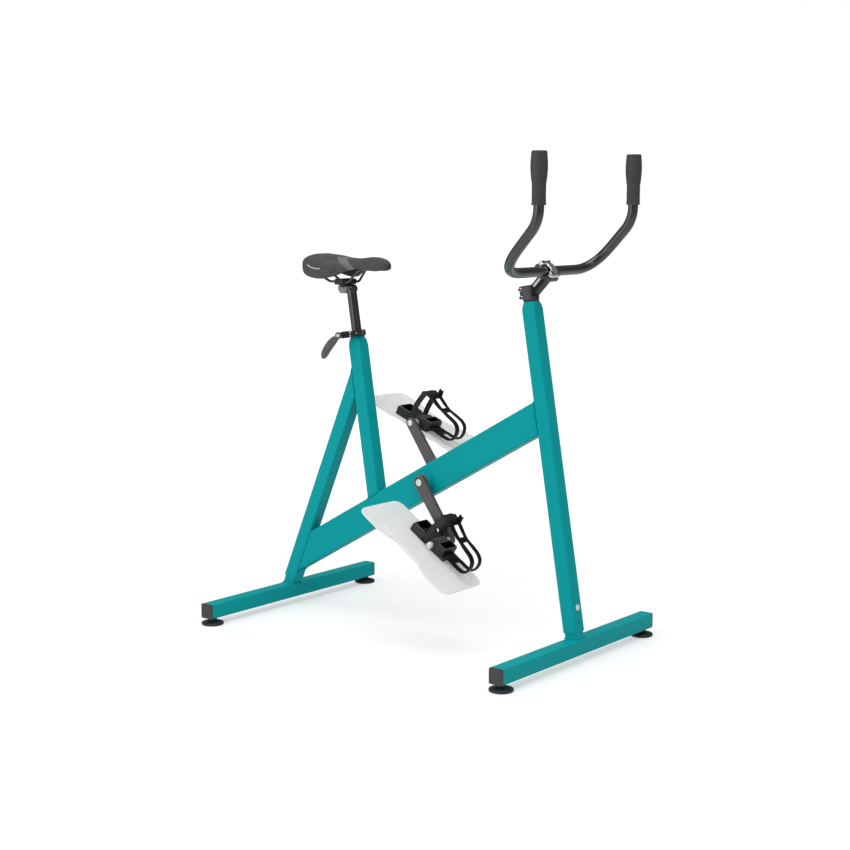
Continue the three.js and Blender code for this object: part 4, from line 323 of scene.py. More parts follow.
# %% Group: uneven finish
uneven, entry, leave = new_group(
    "uneven_finish",
    dict(Vector="Vector", Scale="Float", Light="Color", Dark="Color", Smooth="Float", Rough="Float"),
    dict(Color="Color", Roughness="Float"))
cloud = new_node(uneven, "TexNoise", Detail=4)
mix = new_node(uneven, "Mix", dict(data_type="RGBA"))
spread = new_node(uneven, "MapRange", From_Min=0.3, From_Max=0.7)
joined(uneven, (entry, "Vector", cloud, "Vector"), (entry, "Scale", cloud, "Scale"),
       (cloud, "Fac", mix, "Factor"), (entry, "Light", mix, "A"), (entry, "Dark", mix, "B"),
       (mix, "Result", leave, "Color"), (cloud, "Fac", spread, "Value"),
       (entry, "Smooth", spread, "To Min"), (entry, "Rough", spread, "To Max"),
       (spread, "Result", leave, "Roughness"))

# %% Group: fine bump
fine, entry, leave = new_group(
    "fine_bump", dict(Vector="Vector", Scale="Float", Depth="Float"), dict(Normal="Vector"))
grain, bump = new_node(fine, "TexNoise", Detail=3), new_node(fine, "Bump")
joined(fine, (entry, "Vector", grain, "Vector"), (entry, "Scale", grain, "Scale"),
       (grain, "Fac", bump, "Height"), (entry, "Depth", bump, "Distance"), (bump, "Normal", leave, "Normal"))

# %% Group: painted edge highlight
# A lighter colour where Pointiness finds a sharp edge: a painted highlight, for the light that edges catch
edge_highlight, entry, leave = new_group(
    "painted_edge_highlight", dict(Base="Color", Worn="Color", Amount="Float"), dict(Color="Color"))
shape = new_node(edge_highlight, "NewGeometry")
ridge = new_node(edge_highlight, "MapRange", From_Min=0.52, From_Max=0.6)
tint = new_node(edge_highlight, "Mix", dict(data_type="RGBA"))
joined(edge_highlight, (shape, "Pointiness", ridge, "Value"), (entry, "Amount", ridge, "To Max"),
       (ridge, "Result", tint, "Factor"), (entry, "Base", tint, "A"), (entry, "Worn", tint, "B"),
       (tint, "Result", leave, "Color"))
print("groups:", [g.name for g in bpy.data.node_groups])

# %% [markdown]
# ## Finishes
# A finish starts from one Principled shader. Its plain values are set on the shader's own sockets, and the
# groups feed what changes over the surface. The colours were read off the picture on faces that look
# straight at a lamp.

# %% Helper: a finish
def finish(name, light, dark, smooth, rough, scale=18, grain_scale=500, depth=0.00012, edges=None, **plain):
    """A material: uneven colour and roughness between two values, a fine bump, and maybe painted edge
    highlights.
    """
    material = bpy.data.materials.new(name)
    material.use_nodes = True
    tree = material.node_tree
    shader, where = tree.nodes["Principled BSDF"], new_node(tree, "TexCoord")
    patches = new_node(tree, "Group", dict(node_tree=uneven), Scale=scale, Light=light, Dark=dark,
                       Smooth=smooth, Rough=rough)
    pores = new_node(tree, "Group", dict(node_tree=fine), Scale=grain_scale, Depth=depth)
    joined(tree, (where, "Object", patches, "Vector"), (where, "Object", pores, "Vector"),
           (patches, "Roughness", shader, "Roughness"), (pores, "Normal", shader, "Normal"))
    # edges: the colour and amount of a painted highlight along sharp edges
    if edges:
        rim = new_node(tree, "Group", dict(node_tree=edge_highlight), Worn=edges[0], Amount=edges[1])
        joined(tree, (patches, "Color", rim, "Base"), (rim, "Color", shader, "Base Color"))
    else:
        joined(tree, (patches, "Color", shader, "Base Color"))
    for label, value in plain.items():
        shader.inputs[label.replace("_", " ")].default_value = value
    return material


# %% Paints, plastics and rubber
# The edges colour of a finish is a painted highlight along its sharp edges
teal = finish("teal_paint", srgb(0, 157, 161), srgb(0, 148, 153), 0.3, 0.4, scale=9, grain_scale=260,
              depth=0.00008, edges=(srgb(16, 170, 174), 0.3), Specular_IOR_Level=0.08)
cap_grey = finish("cap_grey", srgb(70, 67, 68), srgb(58, 55, 56), 0.5, 0.65, grain_scale=700, depth=0.0002)
pad_black = finish("pad_black", srgb(46, 46, 48), srgb(34, 34, 36), 0.3, 0.45)
black_plastic = finish("black_plastic", srgb(16, 16, 17), srgb(8, 8, 9), 0.34, 0.5, grain_scale=900,
                       edges=(srgb(84, 84, 86), 0.4), Specular_IOR_Level=0.24)
black_paint = finish("black_paint", srgb(14, 14, 15), srgb(7, 7, 8), 0.26, 0.36, grain_scale=300,
                     depth=0.00004, Coat_Weight=1, Coat_Roughness=0.3, Coat_IOR=1.6)
rubber = finish("rubber", srgb(66, 66, 67), srgb(52, 52, 53), 0.5, 0.7, grain_scale=1200, depth=0.0003)
strap_black = finish("strap_black", srgb(30, 30, 31), srgb(20, 20, 21), 0.5, 0.65, grain_scale=1500)
# The fins are milky white; their faint white emission is a painted glow that brightens them, though they are
# no lamp
fin_white_glow = finish("fin_white_glow", srgb(240, 240, 239), srgb(233, 233, 232), 0.28, 0.4, scale=12,
                   grain_scale=150, depth=0.00002, Transmission_Weight=0.4, IOR=1.42,
                   Emission_Color=WHITE, Emission_Strength=0.09)

# %% Metals, and the painted lever and stem
# The edges colour of a finish is a painted highlight along its sharp edges
lever_grey = finish("lever_grey", srgb(106, 106, 107), srgb(72, 72, 73), 0.4, 0.55, scale=120,
                    grain_scale=420, depth=0.0004, edges=(srgb(140, 140, 142), 0.6))
dark_alloy = finish("dark_alloy", srgb(112, 106, 106), srgb(86, 81, 82), 0.34, 0.46, scale=45,
                    depth=0.00006, edges=(srgb(150, 146, 148), 0.5), Metallic=0.5)
stem_black = finish("stem_black", srgb(28, 26, 27), srgb(16, 15, 15), 0.26, 0.38, scale=55, depth=0.00008,
                    edges=(srgb(120, 120, 122), 0.4), Specular_IOR_Level=0.18)
cast_alloy = finish("cast_alloy", srgb(124, 124, 127), srgb(104, 104, 107), 0.35, 0.5, scale=50,
                    depth=0.0001, edges=(srgb(180, 180, 182), 0.4), Metallic=0.6)
light_alloy = finish("light_alloy", srgb(226, 227, 229), srgb(200, 202, 205), 0.16, 0.3, scale=60,
                     Metallic=0.95)
zinc = finish("zinc", srgb(243, 244, 245), srgb(228, 229, 231), 0.24, 0.36, scale=80, depth=0.00004,
              Metallic=0.4)
steel = finish("steel", srgb(225, 226, 228), srgb(196, 197, 200), 0.14, 0.26, scale=80, depth=0.00004,
               Metallic=1.0)
print("finishes:", [m.name for m in bpy.data.materials])

# %% Finishes on the CAD nodes
# Each node takes the last finish that has one of its words in the node's name
LOOKS = [
    (teal, "foot_tube rear_brace seat_tube main_beam spigot front_post bottom_bracket_shell"),
    (cap_grey, "foot_cap"), (pad_black, "levelling_pad"),
    (black_plastic, "sleeve pedal_body toe_clip rail_c saddle_shell saddle_pad bush"),
    (strap_black, "toe_strap"), (fin_white_glow, "fin_"), (rubber, "grip"), (dark_alloy, "crank_ bearing_cup"),
    (stem_black, "stem"), (black_paint, "handlebar seat_post lever collar saddle_rails"),
    (cast_alloy, "seat_post_head"), (light_alloy, "faceplate"), (steel, "spindle skewer steerer"),
    (zinc, "axle bolt nut"), (black_paint, "clamp_nut"),
]
for name, node in nodes.items():
    look = [material for material, words in LOOKS if any(word in name for word in words.split())][-1]
    node.data.materials.clear()
    node.data.materials.append(look)
print(len(nodes), "CAD nodes have a finish")

# %% The seat post's head: a grey casting with a black ring
# The ring and everything ahead of it are painted black with the post; the block behind it is bare.
RING_X = -0.2722
head = nodes["seat_post_head"]
head.data.materials.append(black_paint)
ahead_of_ring = np.array([head.matrix_world @ face.center for face in head.data.polygons])[:, 0] > RING_X
head.data.polygons.foreach_set("material_index", ahead_of_ring.astype(np.int32))
print(int(ahead_of_ring.sum()), "of", len(ahead_of_ring), "faces of the head are black")

# %% [markdown]
# ## The saddle pad
# A sports saddle is a plastic shell with foam on it and a cover drawn over the foam. Seen from above it is
# wide behind and narrow in front, and its crown dips along the middle, where a channel takes pressure off.
# The pad is one closed surface of two parameters: t runs from the rear edge to the nose and v across from
# wing to wing. The half width, crown and edge at each t come from a table, joined by a smooth curve.

# %% Saddle: the stations and their smooth curve
# Each row, in shares: place along the length, half width, height of the crown and of the lower edge
STATIONS = np.array([
    [0.000, 0.600, 0.730, 0.580], [0.030, 0.790, 0.900, 0.450], [0.080, 0.910, 0.970, 0.250],
    [0.150, 0.985, 1.000, 0.120], [0.250, 1.000, 0.970, 0.030], [0.340, 0.950, 0.940, 0.010],
    [0.420, 0.820, 0.900, 0.075], [0.500, 0.645, 0.870, 0.210], [0.580, 0.490, 0.865, 0.340],
    [0.670, 0.370, 0.880, 0.420], [0.760, 0.310, 0.900, 0.390], [0.850, 0.276, 0.895, 0.340],
    [0.920, 0.243, 0.850, 0.360], [0.970, 0.184, 0.775, 0.430], [1.000, 0.080, 0.660, 0.550]])
SADDLE = dict(length=276.5, width=152, depth=67, rear=-119, low=8.5, channel=5, channel_width=13, bow=9)
ROUNDNESS = 0.83
TILT = dict(x=-280.806, z=927.85)  # the saddle's tilt axis


def along_table(table, t):
    """Catmull-Rom through the rows: with s from row 1 to row 2 of four neighbours,
    half of 2p1 + (p2-p0)s + (2p0-5p1+4p2-p3)s² + (3p1-p0-3p2+p3)s³."""
    place = np.clip(t, 0, 1) * (len(table) - 1)
    first = np.minimum(place.astype(int), len(table) - 2)
    s = (place - first)[..., None]
    a, b, c, d = (table[np.clip(first + k, 0, len(table) - 1)] for k in (-1, 0, 1, 2))
    square, cube = 2 * a - 5 * b + 4 * c - d, 3 * b - a - 3 * c + d
    return 0.5 * (2 * b + (c - a) * s + square * s ** 2 + cube * s ** 3)


def saddle_skin(t, v, sink=0.0):
    """Point (t, v) of the cover. With q = 90°·|v| and p the roundness: y = half width · sin(q)^p,
    z = edge + (crown - edge) · cos(q)^p, less the channel exp(-(y / channel width)²) along the middle. sink
    lowers the crown into the foam and draws the sides in, less where the pad is thin."""
    along, width, crown, edge = np.moveaxis(along_table(STATIONS, t), -1, 0)
    q, channel_width = np.clip(np.abs(v), 0, 1) * np.pi / 2, SADDLE["channel_width"]
    half = np.maximum(SADDLE["width"] / 2 * width - sink * 0.42, 1)
    y = np.sign(v) * half * np.sin(q) ** ROUNDNESS
    top, bottom = (SADDLE["low"] + SADDLE["depth"] * share for share in (crown, edge))
    top = top - sink * np.minimum(1, (top - bottom) * 0.05)
    channel = 0 if sink else SADDLE["channel"] * np.sin(np.pi * np.clip((along - 0.08) / 0.72, 0, 1))
    z = bottom + (top - bottom) * np.cos(q) ** ROUNDNESS - channel * np.exp(-(y / channel_width) ** 2)
    x = SADDLE["rear"] + SADDLE["length"] * along + SADDLE["bow"] * (1 - along) ** 6 * v ** 2
    return np.stack([x, y, z], -1)


# %% Saddle: seams
# The cover is sewn from panels. A grey band crosses each side between two seams, from the crown to the
# lower edge, and a hem runs along the edge.
def band_place(points):
    """How far a point lies from the band's middle line, x = 2 + 1.3·drop + 0.25·|y|, which runs forwards as
    the cover goes down and out. 1 is the band's edge; its width narrows from 32 to 23."""
    x, y, z = np.moveaxis(points, -1, 0)
    drop = np.clip(66 - z, 0, 36)
    return (x - 2 - 1.3 * drop - 0.25 * np.abs(y)) / (16 - 0.125 * drop)


def seam_depth(points, v):
    """Grooves depth·exp(-(distance / half width)²) along the band's edges and the hem at |v| = 0.9."""
    depth, half_width = 1.1, 1.3
    edge = np.abs(np.abs(band_place(points)) - 1) * 16
    hem = (np.abs(v) - 0.9) * 60
    side = np.clip((np.abs(v) - 0.12) / 0.05, 0, 1)
    return depth * np.maximum(np.exp(-(edge / half_width) ** 2) * side, np.exp(-(hem / half_width) ** 2))


# %% Saddle: the pad
def saddle_pad():
    """Rings round the pad: over the top from wing to wing, round the hem and back along the shell. Seams are
    let into the skin along its normal, the cross product of the grid's two directions."""
    t = np.linspace(0, 1, 210)[:, None]
    over = np.linspace(-1, 1, 150)[None]
    under = np.linspace(0.98, -0.98, 40)[None]
    top = saddle_skin(t + 0 * over, over + 0 * t)
    normal = np.cross(np.gradient(top, axis=0), np.gradient(top, axis=1))
    normal /= np.linalg.norm(normal, axis=-1, keepdims=True) + 1e-9
    top = top - normal * seam_depth(top, over + 0 * t)[..., None]
    inner = saddle_skin(t + 0 * under, under + 0 * t, sink=11.5)
    return np.concatenate([top, inner], 1)


cover = finish("saddle_cover", srgb(76, 76, 77), srgb(50, 50, 51), 0.38, 0.54, scale=40, grain_scale=1300,
               depth=0.00025, Sheen_Weight=0.1, Specular_IOR_Level=0.35)
pad = piece("saddle_cover", placed(saddle_pad(), **TILT), "saddle", cover, crease=60)
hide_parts("saddle_pad")

# %% [markdown]
# The grey band is another cloth in the same surface, and a thin pale line is printed on each rear wing.
# Both are values kept on the mesh, worked out from where each point lies, and the cover's material mixes
# its colours by them.

# %% Saddle: the band and the line
flat = np.empty(len(pad.data.vertices) * 3)
pad.data.vertices.foreach_get("co", flat)
local = flat.reshape(-1, 3) * 1000 - (TILT["x"], 0, TILT["z"])
band = np.clip((1 - np.abs(band_place(local))) * 9, 0, 1) * (np.abs(local[:, 1]) > 5)
# The line follows z = 37.6 + 0.006·a² - 0.2·a, where a = x + 54 runs from -23 to 23, outside |y| = 40
a = local[:, 0] + 54
off_line = local[:, 2] - (37.6 + 0.006 * a ** 2 - 0.2 * a)
line = np.exp(-(off_line / 0.85) ** 2) * (np.abs(a) < 23) * (np.abs(local[:, 1]) > 40)
tree = cover.node_tree
shader = tree.nodes["Principled BSDF"]
colour = shader.inputs["Base Color"].links[0].from_node, "Color"
for name, values, tone in (("band", band, srgb(104, 104, 106)), ("line", line, srgb(225, 225, 228))):
    kept = pad.data.attributes.new(name, "FLOAT", "POINT")
    kept.data.foreach_set("value", values.astype(np.float32))
    where = new_node(tree, "Attribute", dict(attribute_name=name))
    blend = new_node(tree, "Mix", dict(data_type="RGBA"), B=tone)
    joined(tree, (where, "Fac", blend, "Factor"), (*colour, blend, "A"))
    colour = blend, "Result"
joined(tree, (*colour, shader, "Base Color"))
print("band covers", round(float(band.mean()), 3), "of the points")

# %% [markdown]
# ## Saddle rails and seat post
# The rails are one steel rod, bent round under the nose, so a circle is carried along one path. The seat
# post is a plain drawn tube, with a black shoulder behind its head.

# %% Saddle rails and seat post
half_rail = np.array([[-96, 32, 30], [-66, 27, 15], [-36, 22, 0], [30, 22, 0], [62, 14.75, 35],
                      [110, 7.5, 35]], float)
rail_corners = np.concatenate([half_rail, half_rail[::-1] * (1, -1, 1)])
rails = piece("rail_rod", placed(rings(bent(rail_corners, 14, 9), 3.5, (0.3, 0, 1), 20), **TILT), "saddle",
              black_paint)
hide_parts("saddle_rails")
tube = placed(turned(wall(11.3, 13.6, 151.8, 501.8), 56), **SEAT)
seat_post = piece("seat_post_tube", tube, "seat_post", black_paint, closed_rows=True)
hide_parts("seat_post")
shoulder = rounded_outline([(-246, 903, 1), (-246, 914, 3), (-250.5, 919.5, 4), (-261.5, 920.5, 2),
                            (-261.5, 903, 1)])
crown = placed(plate(shoulder, -12.4, 12.4, 4, 6, flat="y"))
piece("seat_post_crown", crown, "seat_post", black_paint)

# %% [markdown]
# ## Handlebar and grips
# The bar is one tube with four bends. Its grips are moulded rubber: narrow and ringed with grooves below,
# where the little finger closes, and fuller above. Their section is a curve of height, turned round the
# bar.

# %% Handlebar
BAR = dict(x=384.077, z=974.645)
GRIP_X, GRIP_Y = 114.5, 208  # from the middle of the bar to a grip's axis
side_of_bar = np.array([[GRIP_X, -GRIP_Y, 284.7], [GRIP_X, -GRIP_Y, 124.5], [0, -202, 0]], float)
bar_corners = np.concatenate([side_of_bar, side_of_bar[::-1] * (1, -1, 1)])
bar_tube = piece("bar_tube", placed(rings(bent(bar_corners, 85, 20), 12.7, (1, 0, 0.2), 40), **BAR),
                 "handlebar", black_paint)
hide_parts("handlebar")


# %% Grips
def grip_profile():
    """Radius against height: a smooth curve through seven points, less grooves of 0.9·|cos(pi h / 7)|^12 in
    the lower part, then a rolled edge and the flat end."""
    length, widest, edge, start = 121, 20.5, 4, 163
    h = np.linspace(0, length, 150)
    shape = np.interp(h, [0, 5, 48, 65, 84, 102, 119],
                      np.array([0.87, 0.82, 0.82, 0.93, 1, 0.98, 0.91]) * widest)
    shape = np.convolve(np.pad(shape, 6, "edge"), np.ones(13) / 13, "valid")
    r = shape - 0.9 * np.abs(np.cos(np.pi * h / 7)) ** 12 * ((h > 6) & (h < 50))
    q = np.linspace(0, np.pi / 2, 6)[1:]
    crown = np.c_[r[-1] - edge * (1 - np.cos(q)), length + edge * np.sin(q)]
    bore, end = [(13, length), (13, 0)], [(2, length + edge), (0, length + edge)]
    return np.concatenate([bore, np.c_[r, h], crown, end]) + (0, start)


for hand, side in HANDS.items():
    skin = placed(turned(grip_profile(), 48) + (GRIP_X, side * GRIP_Y, 0), **BAR)
    grip = piece("grip_sleeve_" + hand, skin, "handlebar", rubber, crease=70)
    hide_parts("grip_" + hand)

# %% [markdown]
# ## Stem fasteners
# The stem holds the bar with a face plate and four screws, and the steerer with two pinch screws from the
# right. Each screw head is a small turned piece with a socket. The panel on each flank of the arm is a pale
# inlay.

# %% Stem: screws and panels
STEM = dict(POST, x=332.555, z=920.598)
ARM = dict(STEM, lean=-46.37)


def screw_head(radius, height):
    """A cap screw's head, its seat at 0: the outer edge rolled, and a socket sunk to half its height."""
    inner, half = radius * 0.45, height / 2
    profile = [(0, -2), (radius, -2), (radius, height), (inner, height), (inner, half), (0, half)]
    return turned(softened(profile, 0.5), 24)


def ahead(grid):
    """Turns a piece made upright so that it points forwards: its height becomes X."""
    return grid[..., [2, 0, 1]]


def sideways(grid):
    """Turns a piece made upright so that it points to the rider's right: its height becomes -Y."""
    return grid[..., [0, 2, 1]] * (1, -1, 1)


def power(value, exponent):
    """sgn(value)·|value|^exponent: of a sine and a cosine it makes a circle into a rounded box."""
    return np.sign(value) * np.abs(value) ** exponent


def face_plate():
    """Sections along w from end to end. Inside, the plate follows the bar, u = 75.2 + (13.1² - w²)^½; outside
    it falls from 94.2 at the middle to 88.6 at the screws. Its half width grows from 11.5 to 20 there, which
    gives the X of four lugs. A section is a rounded box, u = middle + half·sgn(sin q)|sin q|^0.4, and both
    ends round off."""
    w = np.linspace(-26.8, 26.8, 70)[:, None]
    q = angles(36, 0.5)
    inner = 75.2 + np.sqrt(np.clip(13.1 ** 2 - w ** 2, 0, None))
    bend = np.clip((np.abs(w) - 8) / 8, 0, 1)
    rise = bend ** 2 * (3 - 2 * bend)
    outer = 94.2 - 5.6 * rise
    end = np.sqrt(1 - np.clip((np.abs(w) - 20.5) / 6.31, 0, 1) ** 2)
    half_width = (11.5 + 8.5 * rise) * (0.7 + 0.3 * end)
    middle, half = (inner + outer) / 2, (outer - inner) / 2 * (0.25 + 0.75 * end)
    u, v = middle + half * power(np.sin(q), 0.4), half_width * power(np.cos(q), 0.5)
    return np.stack([u, v, w + 0 * q], -1)


# %% Stem: face plate, screws and inlays
cap = piece("face_plate", placed(face_plate(), **ARM), "stem", light_alloy, crease=50)
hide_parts("stem_faceplate")
screw = ahead(screw_head(3.5, 1.6))
screws = [placed(screw + (88.8, y, w), **ARM) for y in (-13.5, 13.5) for w in (-20, 20)]
piece("face_plate_screws", screws, "stem", black_paint)
washer = sideways(turned(softened(wall(0, 4.9, -1, 0.9), 0.4), 28))
washers = [placed(washer + (-22, -11, w), **STEM) for w in (-10, 10)]
piece("pinch_washers", washers, "stem", steel)
pinch = [placed(sideways(screw_head(3.5, 3.6)) + (-22, -12, w), **STEM) for w in (-10, 10)]
piece("pinch_screws", pinch, "stem", black_paint)
panel = rounded_box(24.4, 54.7, -5.9, 1.4, 3.6)
inlays = [placed(plate(panel, low, low + 1, 0.3, flat="y"), **ARM) for low in (-14.3, 13.3)]
piece("stem_inlays", inlays, "stem", light_alloy)

# %% [markdown]
# ## Quick release
# The lever is a leaf that swings on a pin beside the collar. Its outline is set by a few widths along its
# length and joined by a smooth curve, and its rim is rolled. The bush between lever and collar is black,
# with a bright ring at its flange.

# %% Quick release: the clamp's place
def at_clamp(points, x=0.0):
    """From the clamp's place to the bike's. The clamp is turned 38 degrees round the seat post, at the
    collar's height, and its skewer is 26 to the right of the post."""
    a, height = np.radians(38), 382.3
    u, v, w = np.moveaxis(points, -1, 0)
    u, v = u + x, v - 26
    around = np.stack([u * np.cos(a) - v * np.sin(a), u * np.sin(a) + v * np.cos(a), w + height], -1)
    return placed(around, **SEAT)


# %% Quick release: lever and ring
# Each row of the leaf: share of the length, share of the half width
LEAF = np.array([[0, 0.5], [0.14, 0.85], [0.32, 1.05], [0.55, 1.07], [0.78, 0.98], [0.93, 0.72], [1, 0.15]])
LEAF_LENGTH, LEAF_HALF, PIN_X = 75.5, 10.5, -50
share = np.linspace(0.1, 1, 40)
width = LEAF_HALF * along_table(LEAF[:, 1:], np.interp(share, LEAF[:, 0], np.linspace(0, 1, 7)))[:, 0]
curve = -LEAF_HALF * 0.4 * np.sin(np.pi * share)
leaf = np.concatenate([np.c_[LEAF_LENGTH * share, curve - width],
                       np.c_[LEAF_LENGTH * share, curve + width][::-1]])
a = np.radians(228.5)
leaf = leaf @ np.array([[np.cos(a), np.sin(a)], [-np.sin(a), np.cos(a)]])
cheeks = [turned(softened(wall(4.4, 9.6, low, low + 4.7), 1.2), 40, True) + (0.8, 0, 0) for low in (-8, 3.3)]
handle = [at_clamp(part, PIN_X) for part in [plate(leaf, -6.4, 6.4, 2.6, 6, flat="y")] + cheeks]
lever = piece("lever_leaf", handle, "clamp_lever", lever_grey)
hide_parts("quick_release_lever")
pin = turned(softened(wall(0, 4.4, -9, 9), 0.9), 28, True)
piece("lever_pin", at_clamp(pin, PIN_X), "clamp_lever", zinc)
spacer = ahead(turned(softened(wall(0, 9.3, -41.5, -20.4), 1.4, 4), 40))
piece("cam_spacer", at_clamp(spacer), "frame", black_plastic)
ring = at_clamp(ahead(turned(softened(wall(9.55, 10.3, 0, 2.2), 0.3), 40)), -18.2)
piece("bush_ring", ring, "frame", steel, closed_rows=True)

# %% [markdown]
# ## Levelling pads
# Each foot stands on two round pads that screw up and down. The pad is turned: a flat sole, a rounded rim,
# a dome and a neck with its threaded stud.

# %% Levelling pads
PAD_PROFILE = [(0, 0), (28.4, 0), (30.2, 1.8), (30.2, 5.6), (28.6, 7.2), (16, 10.4), (11.6, 12.6), (11, 19),
               (5, 19), (5, 49), (0, 49)]
FEET = {"rear": -488.878, "front": POST["x"]}
PAD_Y = 318.1
for end, x in FEET.items():
    for hand, side in HANDS.items():
        disc = placed(turned(softened(PAD_PROFILE, 1.2, 5), 64) + (0, side * PAD_Y, 0), x=x)
        foot_pad = piece(f"{end}_pad_disc_{hand}", disc, f"pad_{end}_{hand}", pad_black)
        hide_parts(f"{end}_levelling_pad_{hand}")

# %% [markdown]
# ## Water fins
# Under each pedal lie two plates of clear plastic, sanded to a milky white, one reaching forwards and one
# back. Where they cross, both are seen through each other. A plate is its rounded outline with a rolled
# rim.

# %% Water fins
# Each pedal's side and its axle; each fin's tip and tail along the pedal, and the height of its lower face
PEDALS = {"right": (-1, dict(x=115.357, z=269.543, lean=34.1)),
          "left": (1, dict(x=-83.513, z=551.457, lean=22.9))}
FINS = {"front": (152, -113, -17.5), "rear": (-186, 79, -21.8)}
for hand, (side, frame_of) in PEDALS.items():
    for end, (tip, tail, low) in FINS.items():
        way = np.sign(tip)
        lobe, neck = tip - way * 92, tip - way * 126
        corners = [(tail, 60, 16), (neck, 60, 30), (lobe, 53, 30), (tip, 53, 30),
                   (tip, 218, 30), (lobe, 218, 30), (neck, 198, 30), (tail, 198, 16)]
        outline = rounded_outline(np.array(corners, float) * (1, side, 1), 14)
        fin = piece(f"{end}_fin_plate_{hand}", placed(plate(outline, low, low + 4, 1.6, 5), **frame_of),
                    "pedal_" + hand, fin_white_glow)
        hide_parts(f"{end}_fin_{hand}")

# %% [markdown]
# ## Toe clips and straps
# A toe clip is moulded as one strip of nylon: it leaves the pedal's front edge, turns up and back round the
# toe, and ends in a bridge that holds the strap. Long slots leave two rails and a crossbar. The strip's
# middle line is a smooth curve through the same points as in the CAD, and each rail or bar is a flat
# rounded section carried along part of it.

# %% Toe clips: the middle line and strips along it
CLIP = np.array([[0, 0], [0.3, 0], [0.62, 0], [0.8, 0.02], [0.93, 0.1], [0.994, 0.25], [1, 0.41],
                 [0.94, 0.56], [0.79, 0.66], [0.56, 0.71], [0.29, 0.756], [0.045, 0.82], [-0.15, 0.9],
                 [-0.31, 0.975]])
CLIP_LENGTH, CLIP_HEIGHT, CLIP_START, CLIP_HALF = 81.7, 80, 42.3, 23
CLIP_LINE = np.concatenate([CLIP * (CLIP_LENGTH, CLIP_HEIGHT) + (CLIP_START, 0),
                            [(5.1, CLIP_HEIGHT), (-20.4, CLIP_HEIGHT)]])


def beside(line, along, off):
    """Points at distance off from a flat line, along its normal: P + off·(-along 2, along 1)."""
    return line[:, :1] - along[:, 1:] * off, line[:, 1:] + along[:, :1] * off


def clip_strip(start, end, low, high, thick=2.2, steps=60):
    """A rounded section between Y = low and high along the middle line from knot start to knot end:
    y = middle + half width·sgn(cos q)|cos q|^0.4, off = thick·sgn(sin q)|sin q|^0.6 along the normal."""
    line = along_table(CLIP_LINE, np.linspace(start, end, steps) / (len(CLIP_LINE) - 1))
    along = np.gradient(line, axis=0)
    along /= np.linalg.norm(along, axis=1, keepdims=True)
    low, high = (np.broadcast_to(v(line) if callable(v) else v, steps)[:, None] for v in (low, high))
    q = angles(28, 0.5)
    y = (low + high) / 2 + (high - low) / 2 * power(np.cos(q), 0.4)
    u, w = beside(line, along, thick * power(np.sin(q), 0.6) + 0 * y)
    return np.stack([u, y, w], -1)


def rod_across(u, low, high, w, radius):
    """A thin rod along Y: a circle in X and Z at both ends."""
    return np.array([(u, low, w), (u, high, w)], float)[:, None] + radius * turned([(1, 0)], 12, True)[0]


def right_edge(line):
    """A rail's outer edge, Y = -23, drawn in by 4·exp(-((u - 59) / 18)²) at the crossbar of the upper run."""
    return -CLIP_HALF + 4 * np.exp(-((line[:, 0] - 59) / 18) ** 2) * np.clip((line[:, 1] - 24) / 10, 0, 1)


def left_edge(line):
    """The other rail's outer edge, its mirror image."""
    return -right_edge(line)


# %% Toe clips: sections and ears
clip_sections = [
    clip_strip(0, 1.35, -CLIP_HALF, CLIP_HALF),
    clip_strip(1.25, 15, right_edge, -8, 2.7, 240),
    clip_strip(1.25, 15, 11.5, left_edge, 2.7, 240),
    clip_strip(10.05, 10.75, -13, 13),
    clip_strip(12.98, 15, -CLIP_HALF, CLIP_HALF),
]
clip_sections += [rod_across(u, -20, 20, 2.4, 1.1) for u in (49, 53.5, 58)]
tall_ear = rounded_outline([(4.6, 77, 1), (19, 76, 3), (15, 84, 2), (17, 98, 2), (9, 96, 2.5), (4.6, 100, 2)])
low_ear = rounded_outline([(4.6, 77, 1), (16, 76, 3), (10, 88, 2.5), (4.6, 88, 2)])
ears = [plate(tall_ear, 15, 23, 0.8, flat="y"), plate(low_ear, -23, -19, 0.8, flat="y")]
CLIP_Y = 95
for hand, (side, frame_of) in PEDALS.items():
    sections = [placed(section + (0, side * CLIP_Y, 0), **frame_of) for section in clip_sections + ears]
    clip = piece("clip_rails_" + hand, sections, "pedal_" + hand, black_plastic, crease=50)
    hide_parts("toe_clip_" + hand)


# %% Toe straps
def spaced(outline, count):
    """A closed outline cut again into even steps, and how far along it each new point lies."""
    closed = np.concatenate([outline, outline[:1]])
    length = np.r_[0, np.cumsum(np.linalg.norm(np.diff(closed, axis=0), axis=1))]
    far = np.linspace(0, length[-1], count, endpoint=False)
    return np.stack([np.interp(far, length, closed[:, k]) for k in (0, 1)], 1), far


def strap_loop(side):
    """A closed band: the rounded loop in the strap's own plane, its free sides bowed to the rear by
    5·sin(pi w / top), and across it a flat section 17 by 2.2 with rolled edges."""
    top = 91.5
    loop = spaced(rounded_box(*sorted((side * 64.9, side * 124.1)), 1.1, top, 7, 9), 160)[0]
    chord = np.roll(loop, -1, 0) - np.roll(loop, 1, 0)
    along = chord / np.linalg.norm(chord, axis=1, keepdims=True)
    q = angles(20, 0.5)
    y, w = beside(loop, along, 1.1 * power(np.sin(q), 0.7))
    u = 8.5 * power(np.cos(q), 0.35) - 5 * np.sin(np.pi * np.clip(w / top, 0, 1))
    return np.stack([u, y, w], -1)


for hand, (side, frame_of) in PEDALS.items():
    # The strap's plane starts at (-22, -6.5) on the pedal and leans 10.4 degrees forwards
    band = placed(strap_loop(side), x=-22, z=-6.5, lean=10.4) * 1000
    strap = piece("strap_band_" + hand, placed(band, **frame_of), "pedal_" + hand, strap_black,
                  closed_rows=True)
    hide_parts("toe_strap_" + hand)
